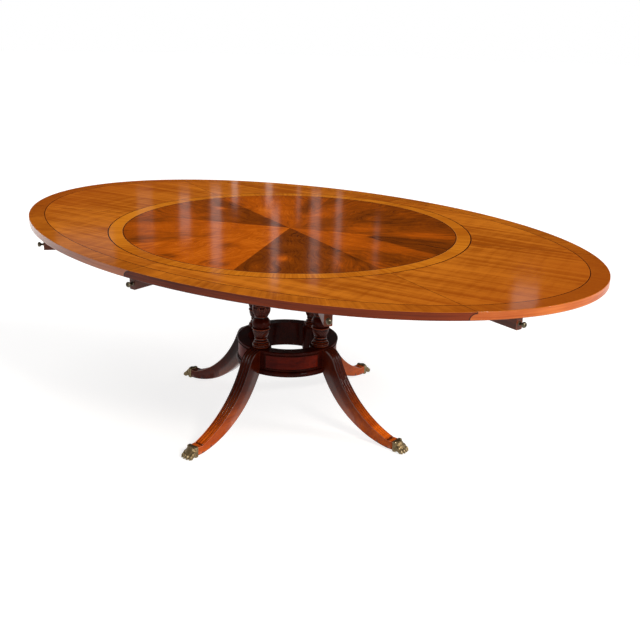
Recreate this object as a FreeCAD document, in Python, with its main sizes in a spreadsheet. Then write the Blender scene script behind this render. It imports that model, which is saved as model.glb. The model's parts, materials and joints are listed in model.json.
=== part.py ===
# Oval extending dining table on a four-column pedestal.
# A fixed round top of eight flame veneers is ringed by six lift-off leaves that make it an oval.
# Ten pull-out bars (lopers) carry the leaves.
# Millimetres, +Z up. The origin is on the floor at the middle of the table, with +X along the oval.

import FreeCAD, Part
import os
import re
import Sketcher

Vector = FreeCAD.Vector

# Every size that can be changed by itself: name, value, what it is.
SIZES = (
    ("table_height", 763, "floor to the polished top"),
    ("top_length", 2420, "long axis of the oval"),
    ("top_width", 1620, "short axis of the oval"),
    ("round_diameter", 1370, "fixed round top"),
    ("veneer_thickness", 1, "sawn veneer"),
    ("board_thickness", 26, "ground board under the veneer"),
    ("body_clearance", 0.3, "gap between pieces that move apart"),
    ("cut_overrun", 20, "how far every cut runs past the piece"),
    ("rim_rounding", 3, "lower arris of the rim"),
    ("lap_lip", 4.5, "upright lip at the top of the lap between leaves"),
    ("lap_foot", 1.5, "upright foot at the bottom of the lap"),
    ("end_joint_angle", 22.5, "joint beside an end leaf, from the long axis"),
    ("peg_diameter", 12, "wooden peg between leaf and round top"),
    ("peg_length", 70, "half in the leaf and half in the round top"),
    ("peg_spacing", 300, "between the two pegs of a leaf"),
    ("crossband_width", 61, "crossbanded border of the leaves"),
    ("leaf_string_width", 3, "dark string inside the crossband"),
    ("edge_string_width", 4, "dark string at the rim of the round top"),
    ("centre_band_width", 48, "light band of the round top"),
    ("centre_string_width", 6, "dark and light string around the flames"),
    ("flame_count", 8, "pie pieces of flame veneer"),
    ("loper_width", 26, "bar that carries the leaves"),
    ("loper_height", 40, "bar that carries the leaves"),
    ("loper_rounding", 4, "long arrises of the bar"),
    ("loper_rim_setback", 16, "end of a pulled-out bar, inside the rim"),
    ("loper_round_setback", 12, "end of a pushed-in bar, inside the round top's edge"),
    ("loper_stop_radius", 103, "where a pushed-in bar's inner end stops"),
    ("end_loper_angle", 15.5, "bars beside the ends, from the long axis"),
    ("corner_loper_angle", 46, "bars at the corners, from the long axis, on average"),
    ("corner_loper_skew", 2, "corner bars, two wider and two narrower than the average"),
    ("knob_diameter", 18, "brass pull"),
    ("knob_length", 11, "brass pull, without its neck"),
    ("knob_neck_diameter", 8, "neck between bar and pull"),
    ("knob_neck_length", 12, "neck between bar and pull"),
    ("knob_screw_length", 16, "stem inside the bar"),
    ("frame_diameter", 1290, "loper frame under the round top"),
    ("frame_eye_diameter", 200, "hole in the middle of the loper guides"),
    ("frame_plate_thickness", 18, "board that closes the loper channels"),
    ("screw_circle_diameter", 900, "screws of the loper frame"),
    ("screw_shank_diameter", 5, "wood screw"),
    ("screw_head_diameter", 10, "wood screw"),
    ("screw_head_height", 4, "wood screw"),
    ("screw_board_bite", 14, "screw length inside the round top"),
    ("top_block_diameter", 470, "block on the columns"),
    ("top_block_thickness", 50, "block on the columns"),
    ("top_block_moulding", 14, "cove around the block's lower edge"),
    ("column_circle_diameter", 324, "circle through the four columns"),
    ("column_diameter", 75, "widest turning of a column"),
    ("column_tenon_diameter", 30, "round tenon at both ends of a column"),
    ("column_tenon_length", 34, "round tenon at both ends of a column"),
    ("platform_diameter", 400, "ring platform over its top moulding"),
    ("platform_top_height", 325, "floor to the platform's top face"),
    ("platform_height", 98, "ring platform"),
    ("platform_wall", 45, "thickness of the ring"),
    ("platform_setback", 6, "outer wall behind the top moulding"),
    ("platform_cap_height", 8, "top moulding"),
    ("platform_lip_height", 19, "bottom moulding"),
    ("platform_lip_projection", 3, "bottom moulding past the top moulding"),
    ("platform_lobe_margin", 3, "lobe under a column, past the column"),
    ("panel_angle", 64, "width of a beaded panel, as an angle"),
    ("panel_rise", 6, "panel edge above the bottom moulding and below the top one"),
    ("panel_bead_width", 5, "bead around a panel"),
    ("panel_bead_thickness", 4, "bead, proud of the wall"),
    ("panel_veneer_thickness", 1.5, "panel inside its bead, proud of the wall"),
    ("leg_root_width", 50, "leg at the platform"),
    ("leg_toe_width", 40, "leg at the paw"),
    ("leg_toe_radius", 544, "end of the leg from the table's axis"),
    ("leg_block_length", 39, "plain level block at the end of the leg"),
    ("leg_toe_top", 38, "floor to the top of the block"),
    ("leg_toe_bottom", 5, "floor to the underside of the block"),
    ("leg_shoulder_run", 54, "rounded shoulder of the leg's back, outward"),
    ("leg_shoulder_drop", 36, "rounded shoulder of the leg's back, downward"),
    ("leg_shoulder_swell", 10, "sagitta of the shoulder"),
    ("leg_back_hollow", 39, "sagitta of the curve along the leg's back"),
    ("leg_belly_hollow", 51, "sagitta of the curve along the leg's belly"),
    ("leg_root_step", 4, "leg's root inside the platform's top and bottom edges"),
    ("leg_tenon_width", 24, "tongue in the platform"),
    ("leg_tenon_length", 26, "tongue in the platform"),
    ("leg_tenon_shoulder", 14, "tongue's bottom above the leg's"),
    ("leg_tenon_depth", 5, "tongue's top below the column's tenon"),
    ("paw_length", 50, "brass paw from heel to toe"),
    ("paw_width", 52, "brass paw over its toes"),
    ("paw_height", 42, "brass paw at its heel"),
    ("paw_wall", 3.5, "brass around the end of the leg"),
    ("paw_toe_height", 22, "toe above the floor"),
    ("paw_toe_length", 26, "rounded toe from back to tip"),
    ("paw_socket_depth", 16, "leg inside the paw"),
)

# Turned outline of a column: share of its height, share of its radius,
# and how far the stretch after the point swells, as a share of the radius.
COLUMN_SHARES = (
    (0.000, 0.86, 0.06),
    (0.055, 0.86, -0.03),
    (0.125, 0.60, 0.06),
    (0.250, 0.88, 0.00),
    (0.265, 0.76, 0.22),
    (0.385, 0.66, 0.00),
    (0.415, 0.66, 0.10),
    (0.560, 0.90, 0.00),
    (0.585, 0.66, 0.09),
    (0.850, 0.58, 0.00),
    (0.866, 0.82, 0.09),
    (0.920, 0.82, 0.00),
    (0.935, 0.97, 0.00),
    (1.000, 0.97, 0.00),
)
KNOB_WAIST_SHARE = 0.8
TOE_EDGE_SHARES = (-0.50, -0.25, 0.00, 0.25, 0.50)
PAW_ANKLE_SHARE = 0.30
PAW_INSTEP_SHARE = 0.62
PAW_NARROWING_SHARE = 0.9
TOE_SOLE_SHARE = 0.2
TOE_FRONT_SHARE = 0.4
TOE_SWELL_SHARE = 0.1
MOULDING_START_SHARE = 0.5
MOULDING_END_SHARE = 1.5
MOULDING_HOLLOW_SHARE = 0.2

SIZE_NAMES = {name for name, value, meaning in SIZES}

HALF_LENGTH = "(top_length / 2)"
HALF_WIDTH = "(top_width / 2)"
ROUND_RADIUS = "(round_diameter / 2)"
LEAF_INNER_RADIUS = "(round_diameter / 2 + body_clearance)"
BOARD_TOP = "(table_height - veneer_thickness)"
BOARD_BOTTOM = f"({BOARD_TOP} - board_thickness)"
CHANNEL_DEPTH = "(loper_height + 2 * body_clearance)"
CHANNEL_WIDTH = "(loper_width + 2 * body_clearance)"
PLATE_TOP = f"({BOARD_BOTTOM} - {CHANNEL_DEPTH})"
PLATE_BOTTOM = f"({PLATE_TOP} - frame_plate_thickness)"
BLOCK_BOTTOM = f"({PLATE_BOTTOM} - top_block_thickness)"
LOPER_BOTTOM = f"({PLATE_TOP} + body_clearance)"
LOPER_LENGTH = f"({ROUND_RADIUS} - loper_round_setback - loper_stop_radius)"
COLUMN_HEIGHT = f"({BLOCK_BOTTOM} - platform_top_height)"
PLATFORM_BOTTOM = "(platform_top_height - platform_height)"
PLATFORM_RADIUS = "(platform_diameter / 2)"
PLATFORM_INNER = "(platform_diameter / 2 - platform_wall)"
WALL_RADIUS = "(platform_diameter / 2 - platform_setback)"
BORDER_WIDTH = "(crossband_width + leaf_string_width)"
EDGE_STRING_INNER = f"({ROUND_RADIUS} - edge_string_width)"
BAND_INNER = f"({EDGE_STRING_INNER} - centre_band_width)"
FLAME_RADIUS = f"({BAND_INNER} - centre_string_width)"

# The six joints between leaves, in order round the table from the end on +X.
JOINT_ANGLES = (
    "end_joint_angle",
    "90",
    "(180 - end_joint_angle)",
    "(180 + end_joint_angle)",
    "270",
    "(360 - end_joint_angle)",
    "(360 + end_joint_angle)",
)
LEAF_NAMES = ("back_right", "back_left", "left_end", "front_left", "front_right", "right_end")
LOPERS = (
    ("right_back", "end_loper_angle"),
    ("back_right", "(corner_loper_angle + corner_loper_skew)"),
    ("back", "90"),
    ("back_left", "(180 - corner_loper_angle + corner_loper_skew)"),
    ("left_back", "(180 - end_loper_angle)"),
    ("left_front", "(180 + end_loper_angle)"),
    ("front_left", "(180 + corner_loper_angle + corner_loper_skew)"),
    ("front", "270"),
    ("front_right", "(360 - corner_loper_angle + corner_loper_skew)"),
    ("right_front", "(360 - end_loper_angle)"),
)
QUARTERS = (("right", 0), ("back", 90), ("left", 180), ("front", 270))

doc = FreeCAD.newDocument("oval_dining_table")
sheet = doc.addObject("Spreadsheet::Sheet", "Sizes")
for row, (name, value, meaning) in enumerate(SIZES, start=1):
    sheet.set(f"A{row}", meaning)
    sheet.set(f"B{row}", str(value))
    sheet.setAlias(f"B{row}", name)
doc.recompute()

nodes = []


def on_sheet(text):
    """Turn the size names in an expression into cells of the sheet."""
    return re.sub(r"[a-z_]+", lambda m: f"Sizes.{m.group()}" if m.group() in SIZE_NAMES else m.group(), text)


def bind(item, **expressions):
    """Bind properties of an object to expressions."""
    for name, text in expressions.items():
        item.setExpression(name, on_sheet(text))


def size_of(text):
    """The value of an expression, now."""
    return float(sheet.evalExpression(on_sheet(text)))


def place(item, x="0", y="0", z="0", turn="0"):
    """Bind an object's place, and its turn about the upright axis."""
    item.Placement = FreeCAD.Placement(Vector(0, 0, 0), FreeCAD.Rotation(Vector(0, 0, 1), 0))
    for path, text in (("Base.x", x), ("Base.y", y), ("Base.z", z), ("Rotation.Angle", turn)):
        item.setExpression(f"Placement.{path}", on_sheet(text))
    return item


def place_out(item, radius, turn, side="0", z="0"):
    """Place an object out along a direction, and to the left of it by side."""
    x = f"{radius} * cos({turn}) - {side} * sin({turn})"
    y = f"{radius} * sin({turn}) + {side} * cos({turn})"
    return place(item, x, y, z, turn)


def node(item, name):
    """Name an object as one of the table's pieces."""
    item.Label = name
    nodes.append(item)
    return item


def new_body(name, role):
    """A body with an empty sketch on one of its own origin planes."""
    body = doc.addObject("PartDesign::Body", name)
    sketch = body.newObject("Sketcher::SketchObject", f"{name}_outline")
    plane = [item for item in body.Origin.OriginFeatures if item.Role == role][0]
    sketch.AttachmentSupport = (plane, [""])
    sketch.MapMode = "FlatFace"
    return body, sketch


def fix_point(sketch, edge, end, corner, label):
    """Hold one end of an edge at its corner, by expressions."""
    for axis, kind, text in ((-2, "DistanceX", corner[0]), (-1, "DistanceY", corner[1])):
        if text == "0":
            sketch.addConstraint(Sketcher.Constraint("PointOnObject", edge, end, axis))
            continue
        index = sketch.addConstraint(Sketcher.Constraint(kind, -1, 1, edge, end, size_of(text)))
        title = f"{kind}_{label}"
        sketch.renameConstraint(index, title)
        sketch.setExpression(f"Constraints.{title}", on_sheet(text))


def draw(sketch, corners):
    """Draw a closed outline. A corner is x, y and, for an arc to the next corner, its sagitta.
    A positive sagitta swells to the right of the way round."""
    points = [Vector(size_of(corner[0]), size_of(corner[1]), 0) for corner in corners]
    for index, start in enumerate(points):
        after = (index + 1) % len(points)
        end = points[after]
        if len(corners[index]) == 2:
            edge = sketch.addGeometry(Part.LineSegment(start, end), False)
        else:
            run = end - start
            swell = Vector(run.y, -run.x, 0).normalize() * size_of(corners[index][2])
            middle = (start + end) * 0.5 + swell
            edge = sketch.addGeometry(Part.Arc(start, middle, end), False)
        forward = (sketch.getPoint(edge, 1) - start).Length < (sketch.getPoint(edge, 2) - start).Length
        first, last = (1, 2) if forward else (2, 1)
        fix_point(sketch, edge, first, corners[index], f"start_{index}")
        fix_point(sketch, edge, last, corners[after], f"end_{index}")
        if len(corners[index]) == 3:
            dx = f"(({corners[after][0]}) - ({corners[index][0]}))"
            dy = f"(({corners[after][1]}) - ({corners[index][1]}))"
            rise = f"abs({corners[index][2]})"
            radius = f"({dx} * {dx} + {dy} * {dy}) / (8 * {rise}) + {rise} / 2"
            turn = sketch.addConstraint(Sketcher.Constraint("Radius", edge, size_of(radius)))
            sketch.renameConstraint(turn, f"Radius_{index}")
            sketch.setExpression(f"Constraints.Radius_{index}", on_sheet(radius))


def padded(name, role, corners, length, midplane=False):
    """A body padded from one outline."""
    body, sketch = new_body(name, role)
    draw(sketch, corners)
    pad = body.newObject("PartDesign::Pad", f"{name}_pad")
    pad.Profile = sketch
    if midplane:
        pad.SideType = "Symmetric"
    bind(pad, Length=length)
    sketch.Visibility = False
    return body


def turned(name, corners, axis="V_Axis"):
    """A body turned from one outline about an axis of its sketch."""
    body, sketch = new_body(name, "XZ_Plane")
    draw(sketch, corners)
    turning = body.newObject("PartDesign::Revolution", f"{name}_turning")
    turning.Profile = sketch
    turning.ReferenceAxis = (sketch, [axis])
    turning.Angle = 360
    return body


def oval_plate(name, half_length, half_width, bottom, thickness):
    """An upright-edged plate on an ellipse."""
    rim = doc.addObject("Part::Ellipse", f"{name}_rim")
    bind(rim, MajorRadius=half_length, MinorRadius=half_width)
    place(rim, z=bottom)
    plate = doc.addObject("Part::Extrusion", name)
    plate.Base = rim
    plate.DirMode = "Custom"
    plate.Dir = Vector(0, 0, 1)
    plate.Solid = True
    bind(plate, LengthFwd=thickness)
    return plate


def disc(name, radius, bottom, thickness, angle=None, turn="0"):
    """A round plate, or a pie piece of one."""
    item = doc.addObject("Part::Cylinder", name)
    bind(item, Radius=radius, Height=thickness)
    if angle:
        bind(item, Angle=angle)
    return place(item, z=bottom, turn=turn)


def cut(name, base, *tools):
    """The base without its tools."""
    tool = tools[0]
    if len(tools) > 1:
        tool = group(f"{name}_tools", tools)
    item = doc.addObject("Part::Cut", name)
    item.Base = base
    item.Tool = tool
    return item


def group(name, items):
    """Several separate solids in one object."""
    item = doc.addObject("Part::Compound", name)
    item.Links = list(items)
    return item


def fused(name, items):
    """Several solids joined into one."""
    item = doc.addObject("Part::MultiFuse", name)
    item.Shapes = list(items)
    return item


def common(name, items):
    """What several solids share."""
    item = doc.addObject("Part::MultiCommon", name)
    item.Shapes = list(items)
    return item


def flat_ring(name, outer, inner, bottom, thickness):
    """A flat ring with upright edges."""
    eye_bottom = f"{bottom} - cut_overrun"
    eye_height = f"{thickness} + 2 * cut_overrun"
    eye = disc(f"{name}_eye", inner, eye_bottom, eye_height)
    return cut(name, disc(f"{name}_disc", outer, bottom, thickness), eye)


def rim_radius(turn):
    """Distance from the table's axis to the rim, in a direction."""
    across = f"({HALF_WIDTH} * cos({turn}))"
    along = f"({HALF_LENGTH} * sin({turn}))"
    return f"({HALF_LENGTH} * {HALF_WIDTH} / sqrt({across} * {across} + {along} * {along}))"


def peg_start(extra="0"):
    """Distance along a leaf's direction to the inner end of its pegs, or that much deeper."""
    middle = f"sqrt({ROUND_RADIUS} * {ROUND_RADIUS} - peg_spacing * peg_spacing / 4)"
    return f"({middle} - peg_length / 2 - {extra})"


def lap_side(name, turn, gap):
    """All that lies past a joint, on the side whose edge is the quarter round.
    gap moves its edge back all along."""
    quarter = "(board_thickness + veneer_thickness - lap_lip - lap_foot)"
    foot = f"({BOARD_BOTTOM} + lap_foot)"
    reach = f"({HALF_LENGTH} + cut_overrun)"
    high = "(table_height + cut_overrun)"
    low = f"({BOARD_BOTTOM} - cut_overrun)"
    outer = f"({quarter} + {gap})"
    shoulder = f"({foot} + sqrt({outer} * {outer} - {gap} * {gap}))"
    chord_up = f"({shoulder} - {foot})"
    chord = f"sqrt(({outer} - {gap}) * ({outer} - {gap}) + {chord_up} * {chord_up})"
    swell = f"({outer} - sqrt({outer} * {outer} - {chord} * {chord} / 4))"
    lip = f"-{gap}" if gap != "0" else "0"
    corners = (
        (lip, high),
        (lip, shoulder, swell),
        (f"-{outer}", foot),
        (f"-{outer}", low),
        (reach, low),
        (reach, high),
    )
    return place(padded(name, "YZ_Plane", corners, reach), turn=turn)


def make_pegs():
    """Each leaf's two pegs, and the bores that they leave in the round top."""
    pegs = []
    bores = []
    middle = f"({BOARD_BOTTOM} + board_thickness / 2)"
    for index, leaf in enumerate(LEAF_NAMES):
        turn = f"(({JOINT_ANGLES[index]} + {JOINT_ANGLES[index + 1]}) / 2)"
        pair = []
        for label, side in (("a", "(peg_spacing / 2)"), ("b", "(-peg_spacing / 2)")):
            rod = lying_rod(f"{leaf}_peg_{label}", "(peg_diameter / 2)", "peg_length")
            pair.append(place_out(rod, peg_start(), turn, side, middle))
            bore = lying_rod(f"{leaf}_bore_{label}", "(peg_diameter / 2 + body_clearance)", "peg_length")
            bores.append(place_out(bore, peg_start("body_clearance"), turn, side, middle))
        pegs.append(pair)
    return pegs, bores


def lying_rod(name, radius, length):
    """A round rod that lies along +X."""
    body, sketch = new_body(name, "YZ_Plane")
    sketch.addGeometry(Part.Circle(Vector(0, 0, 0), Vector(0, 0, 1), size_of(radius)), False)
    sketch.addConstraint(Sketcher.Constraint("Coincident", 0, 3, -1, 1))
    index = sketch.addConstraint(Sketcher.Constraint("Radius", 0, size_of(radius)))
    sketch.renameConstraint(index, "rod_radius")
    sketch.setExpression("Constraints.rod_radius", on_sheet(radius))
    pad = body.newObject("PartDesign::Pad", f"{name}_pad")
    pad.Profile = sketch
    bind(pad, Length=length)
    return body


def rounded_board():
    """The whole oval board, its lower arris rounded."""
    blank = oval_plate("oval_blank", HALF_LENGTH, HALF_WIDTH, BOARD_BOTTOM, "board_thickness")
    doc.recompute()
    heights = [edge.BoundBox.ZMax for edge in blank.Shape.Edges]
    lowest = heights.index(min(heights)) + 1
    board = doc.addObject("Part::Fillet", "oval_board")
    board.Base = blank
    radius = size_of("rim_rounding")
    board.Edges = [(lowest, radius, radius)]
    return board


def make_leaves(pegs):
    """Six leaves: ground board with its pegs, field veneer, and crossband with its string."""
    low_eye = f"({BOARD_BOTTOM} - cut_overrun)"
    eye_height = "(board_thickness + veneer_thickness + 2 * cut_overrun)"
    eye = disc("leaf_eye", LEAF_INNER_RADIUS, low_eye, eye_height)
    board_ring = cut("board_ring", rounded_board(), eye)
    outer = oval_plate("veneer_oval", HALF_LENGTH, HALF_WIDTH, BOARD_TOP, "veneer_thickness")
    tall = "(veneer_thickness + 2 * cut_overrun)"
    tool_low = f"({BOARD_TOP} - cut_overrun)"
    string_length = f"({HALF_LENGTH} - crossband_width)"
    string_width = f"({HALF_WIDTH} - crossband_width)"
    field_length = f"({HALF_LENGTH} - {BORDER_WIDTH})"
    field_width = f"({HALF_WIDTH} - {BORDER_WIDTH})"
    inside_band = oval_plate("inside_band", string_length, string_width, tool_low, tall)
    inside_string = oval_plate("inside_string", field_length, field_width, tool_low, tall)
    band_ring = cut("crossband_ring", outer, inside_band)
    string_oval = oval_plate("string_oval", string_length, string_width, BOARD_TOP, "veneer_thickness")
    string_ring = cut("leaf_string_ring", string_oval, inside_string)
    field_oval = oval_plate("field_oval", field_length, field_width, BOARD_TOP, "veneer_thickness")
    field_ring = cut("field_ring", field_oval, eye)
    for index, leaf in enumerate(LEAF_NAMES):
        kept = lap_side(f"{leaf}_from", JOINT_ANGLES[index], "0")
        dropped = lap_side(f"{leaf}_to", JOINT_ANGLES[index + 1], "body_clearance")
        wedge = cut(f"{leaf}_wedge", kept, dropped)
        board = common(f"{leaf}_ground", (board_ring, wedge))
        bored = cut(f"{leaf}_bored", board, *pegs[index])
        node(group(f"{leaf}_board", [bored] + pegs[index]), f"leaf_{leaf}_board")
        node(common(f"{leaf}_field", (field_ring, wedge)), f"leaf_{leaf}_field_veneer")
        band = common(f"{leaf}_band", (band_ring, wedge))
        string = common(f"{leaf}_string", (string_ring, wedge))
        node(group(f"{leaf}_banding", (band, string)), f"leaf_{leaf}_crossband")


def make_centre(bores, screws):
    """The round top: ground board, flames, strings and light band."""
    ground = disc("centre_ground", ROUND_RADIUS, BOARD_BOTTOM, "board_thickness")
    node(cut("centre_bored", ground, *bores, screws), "centre_board")
    flames = []
    for index in range(int(size_of("flame_count"))):
        turn = f"({index} + 0.5) * 360 / flame_count"
        angle = "360 / flame_count"
        flames.append(disc(f"flame_{index + 1}", FLAME_RADIUS, BOARD_TOP, "veneer_thickness", angle, turn))
    node(group("flames", flames), "centre_flame_veneers")
    inner = flat_ring("inner_string", BAND_INNER, FLAME_RADIUS, BOARD_TOP, "veneer_thickness")
    edge = flat_ring("edge_string", ROUND_RADIUS, EDGE_STRING_INNER, BOARD_TOP, "veneer_thickness")
    node(group("strings", (inner, edge)), "centre_strings")
    band = flat_ring("band", EDGE_STRING_INNER, BAND_INNER, BOARD_TOP, "veneer_thickness")
    node(band, "centre_band")


def make_lopers():
    """Ten bars with a brass knob each, pulled out to the rim."""
    half = "(loper_width / 2)"
    soft = f"({half} - loper_rounding)"
    bend = "(loper_rounding * (1 - sqrt(0.5)))"
    top_soft = "(loper_height - loper_rounding)"
    section = (
        (f"-{soft}", "0"),
        (soft, "0", bend),
        (half, "loper_rounding"),
        (half, top_soft, bend),
        (soft, "loper_height"),
        (f"-{soft}", "loper_height", bend),
        (f"-{half}", top_soft),
        (f"-{half}", "loper_rounding", bend),
    )
    knob_half = "(knob_diameter / 2)"
    waist = f"({knob_half} * {KNOB_WAIST_SHARE})"
    neck = "(knob_neck_diameter / 2)"
    knob_end = "(knob_neck_length + knob_length)"
    knob_outline = (
        ("-knob_screw_length", "0"),
        (knob_end, "0"),
        (knob_end, waist, f"({knob_half} - {waist})"),
        ("knob_neck_length", waist),
        ("knob_neck_length", neck),
        ("-knob_screw_length", neck),
    )
    for name, turn in LOPERS:
        end = f"({rim_radius(turn)} - loper_rim_setback)"
        start = f"({end} - {LOPER_LENGTH})"
        bar = padded(f"bar_{name}", "YZ_Plane", section, LOPER_LENGTH)
        place_out(bar, start, turn, z=LOPER_BOTTOM)
        knob = turned(f"knob_{name}", knob_outline, "H_Axis")
        place_out(knob, end, turn, z=f"({LOPER_BOTTOM} + loper_height / 2)")
        node(cut(f"drilled_{name}", bar, knob), f"loper_{name}_bar")
        node(knob, f"loper_{name}_knob")


def make_screws():
    """One screw through each guide, from under the frame plate into the round top."""
    length = f"(frame_plate_thickness + {CHANNEL_DEPTH} + screw_board_bite)"
    shank = "(screw_shank_diameter / 2)"
    head = "(screw_head_diameter / 2)"
    outline = (
        ("0", "0"),
        (head, "0"),
        (shank, "screw_head_height"),
        (shank, length),
        ("0", f"({length} + {shank})"),
    )
    turns = [turn for name, turn in LOPERS] + [f"(360 + {LOPERS[0][1]})"]
    screws = []
    for index in range(len(LOPERS)):
        turn = f"(({turns[index]} + {turns[index + 1]}) / 2)"
        screw = turned(f"screw_{index + 1}", outline)
        screws.append(place_out(screw, "(screw_circle_diameter / 2)", turn, z=PLATE_BOTTOM))
    return node(group("screws", screws), "frame_screws")


def make_frame(screws):
    """Guides between the bars, the plate that closes their channels, and the block on the columns."""
    radius = "(frame_diameter / 2)"
    blank = disc("guide_blank", radius, PLATE_TOP, CHANNEL_DEPTH)
    tool_low = f"({PLATE_TOP} - cut_overrun)"
    tool_height = f"({CHANNEL_DEPTH} + 2 * cut_overrun)"
    tools = [disc("guide_eye", "(frame_eye_diameter / 2)", tool_low, tool_height)]
    for name, turn in LOPERS:
        channel = doc.addObject("Part::Box", f"channel_{name}")
        bind(channel, Length=f"{radius} + cut_overrun", Width=CHANNEL_WIDTH, Height=tool_height)
        tools.append(place_out(channel, "0", turn, f"(-{CHANNEL_WIDTH} / 2)", tool_low))
    node(cut("guides", blank, *tools, screws), "loper_guides")
    plate = disc("plate_blank", radius, PLATE_BOTTOM, "frame_plate_thickness")
    node(cut("plate", plate, screws), "frame_plate")
    edge = "(top_block_diameter / 2)"
    foot = f"({edge} - top_block_moulding)"
    cove = f"(-top_block_moulding * {MOULDING_HOLLOW_SHARE})"
    outline = (
        ("0", "0"),
        (foot, "0"),
        (foot, f"(top_block_moulding * {MOULDING_START_SHARE})", cove),
        (edge, f"(top_block_moulding * {MOULDING_END_SHARE})"),
        (edge, "top_block_thickness"),
        ("0", "top_block_thickness"),
    )
    return place(turned("block_blank", outline), z=BLOCK_BOTTOM)


def make_columns():
    """Four turned columns, with a round tenon at each end."""
    radius = "(column_diameter / 2)"
    tenon = "(column_tenon_diameter / 2)"
    outline = [("0", "-column_tenon_length"), (tenon, "-column_tenon_length")]
    outline.append((tenon, "0"))
    for height_share, radius_share, swell_share in COLUMN_SHARES:
        height = f"({COLUMN_HEIGHT} * {height_share})" if height_share else "0"
        corner = (f"({radius} * {radius_share})", height)
        if swell_share:
            corner += (f"({radius} * {swell_share})",)
        outline.append(corner)
    outline.append((tenon, COLUMN_HEIGHT))
    outline.append((tenon, f"({COLUMN_HEIGHT} + column_tenon_length)"))
    outline.append(("0", f"({COLUMN_HEIGHT} + column_tenon_length)"))
    columns = []
    for name, turn in QUARTERS:
        column = turned(f"column_{name}_body", outline)
        place_out(column, "(column_circle_diameter / 2)", str(turn), z="platform_top_height")
        columns.append(node(column, f"column_{name}"))
    return columns


def make_legs():
    """Four sabre legs, each with a tongue for the platform."""
    root_top = "(platform_top_height - leg_root_step)"
    root_bottom = f"({PLATFORM_BOTTOM} + leg_root_step)"
    block = "(leg_toe_radius - leg_block_length)"
    side = (
        (WALL_RADIUS, root_bottom, "leg_belly_hollow"),
        (block, "leg_toe_bottom"),
        ("leg_toe_radius", "leg_toe_bottom"),
        ("leg_toe_radius", "leg_toe_top"),
        (block, "leg_toe_top", "-leg_back_hollow"),
        (f"({WALL_RADIUS} + leg_shoulder_run)", f"({root_top} - leg_shoulder_drop)", "leg_shoulder_swell"),
        (WALL_RADIUS, root_top),
    )
    plan = (
        (WALL_RADIUS, "(-leg_root_width / 2)"),
        ("leg_toe_radius", "(-leg_toe_width / 2)"),
        ("leg_toe_radius", "(leg_toe_width / 2)"),
        (WALL_RADIUS, "(leg_root_width / 2)"),
    )
    bottom = f"({root_bottom} + leg_tenon_shoulder)"
    top = "(platform_top_height - column_tenon_length - leg_tenon_depth)"
    legs = []
    for name, turn in QUARTERS:
        profile = padded(f"leg_{name}_side", "XZ_Plane", side, "leg_root_width", midplane=True)
        taper = padded(f"leg_{name}_plan", "XY_Plane", plan, "platform_top_height")
        tongue = doc.addObject("Part::Box", f"leg_{name}_tongue")
        bind(tongue, Length="leg_tenon_length", Width="leg_tenon_width", Height=f"{top} - {bottom}")
        place(tongue, f"{WALL_RADIUS} - leg_tenon_length", "-leg_tenon_width / 2", bottom)
        leg = fused(f"leg_{name}_whole", (common(f"leg_{name}_blade", (profile, taper)), tongue))
        legs.append(node(place(leg, turn=str(turn)), f"leg_{name}"))
    return legs


def make_platform(columns, legs):
    """The ring that ties columns and legs, with a lobe under each column."""
    lip = f"({PLATFORM_RADIUS} + platform_lip_projection)"
    lip_face = f"({lip} - platform_lip_projection)"
    cap_bottom = "(platform_height - platform_cap_height)"
    cap_face = f"({PLATFORM_RADIUS} - platform_lip_projection)"
    outline = (
        (PLATFORM_INNER, "0"),
        (lip_face, "0", "platform_lip_projection"),
        (lip_face, "platform_lip_height"),
        (WALL_RADIUS, "platform_lip_height"),
        (WALL_RADIUS, cap_bottom),
        (cap_face, cap_bottom, "platform_lip_projection"),
        (cap_face, "platform_height"),
        (PLATFORM_INNER, "platform_height"),
    )
    parts = [place(turned("platform_ring", outline), z=PLATFORM_BOTTOM)]
    lobe_radius = "(column_diameter / 2 + platform_lobe_margin)"
    for name, turn in QUARTERS:
        lobe = doc.addObject("Part::Cylinder", f"lobe_{name}")
        bind(lobe, Radius=lobe_radius, Height="platform_height")
        parts.append(place_out(lobe, "(column_circle_diameter / 2)", str(turn), z=PLATFORM_BOTTOM))
    inside = disc("platform_bound", WALL_RADIUS, PLATFORM_BOTTOM, "platform_height")
    lobes = common("platform_lobes", (group("lobe_group", parts[1:]), inside))
    blank = fused("platform_blank", (parts[0], lobes))
    node(cut("platform_cut", blank, *columns, *legs), "platform")
    panels = []
    low = f"({PLATFORM_BOTTOM} + platform_lip_height + panel_rise)"
    high = "(platform_top_height - platform_cap_height - panel_rise)"
    inset_turn = "(panel_bead_width / platform_diameter * 360 / pi)"
    window_radius = f"({WALL_RADIUS} + cut_overrun)"
    core_low = f"({low} - cut_overrun)"
    core_height = f"({high} - {low} + 2 * cut_overrun)"
    for name, turn in QUARTERS:
        start = f"({turn} + 45 - panel_angle / 2)"
        bead_radius = f"({WALL_RADIUS} + panel_bead_thickness)"
        bead = disc(f"bead_{name}_pie", bead_radius, low, f"{high} - {low}", "panel_angle", start)
        core = disc(f"bead_{name}_core", WALL_RADIUS, core_low, core_height)
        inner_low = f"({low} + panel_bead_width)"
        inner_height = f"({high} - {low} - 2 * panel_bead_width)"
        inner_angle = f"panel_angle - 2 * {inset_turn}"
        inner_start = f"({start} + {inset_turn})"
        inside = (inner_low, inner_height, inner_angle, inner_start)
        window = disc(f"bead_{name}_window", window_radius, *inside)
        panels.append(cut(f"bead_{name}", bead, core, window))
        face = disc(f"panel_{name}_pie", f"({WALL_RADIUS} + panel_veneer_thickness)", *inside)
        panels.append(cut(f"panel_{name}", face, core))
    node(group("panels", panels), "platform_panels")


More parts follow.
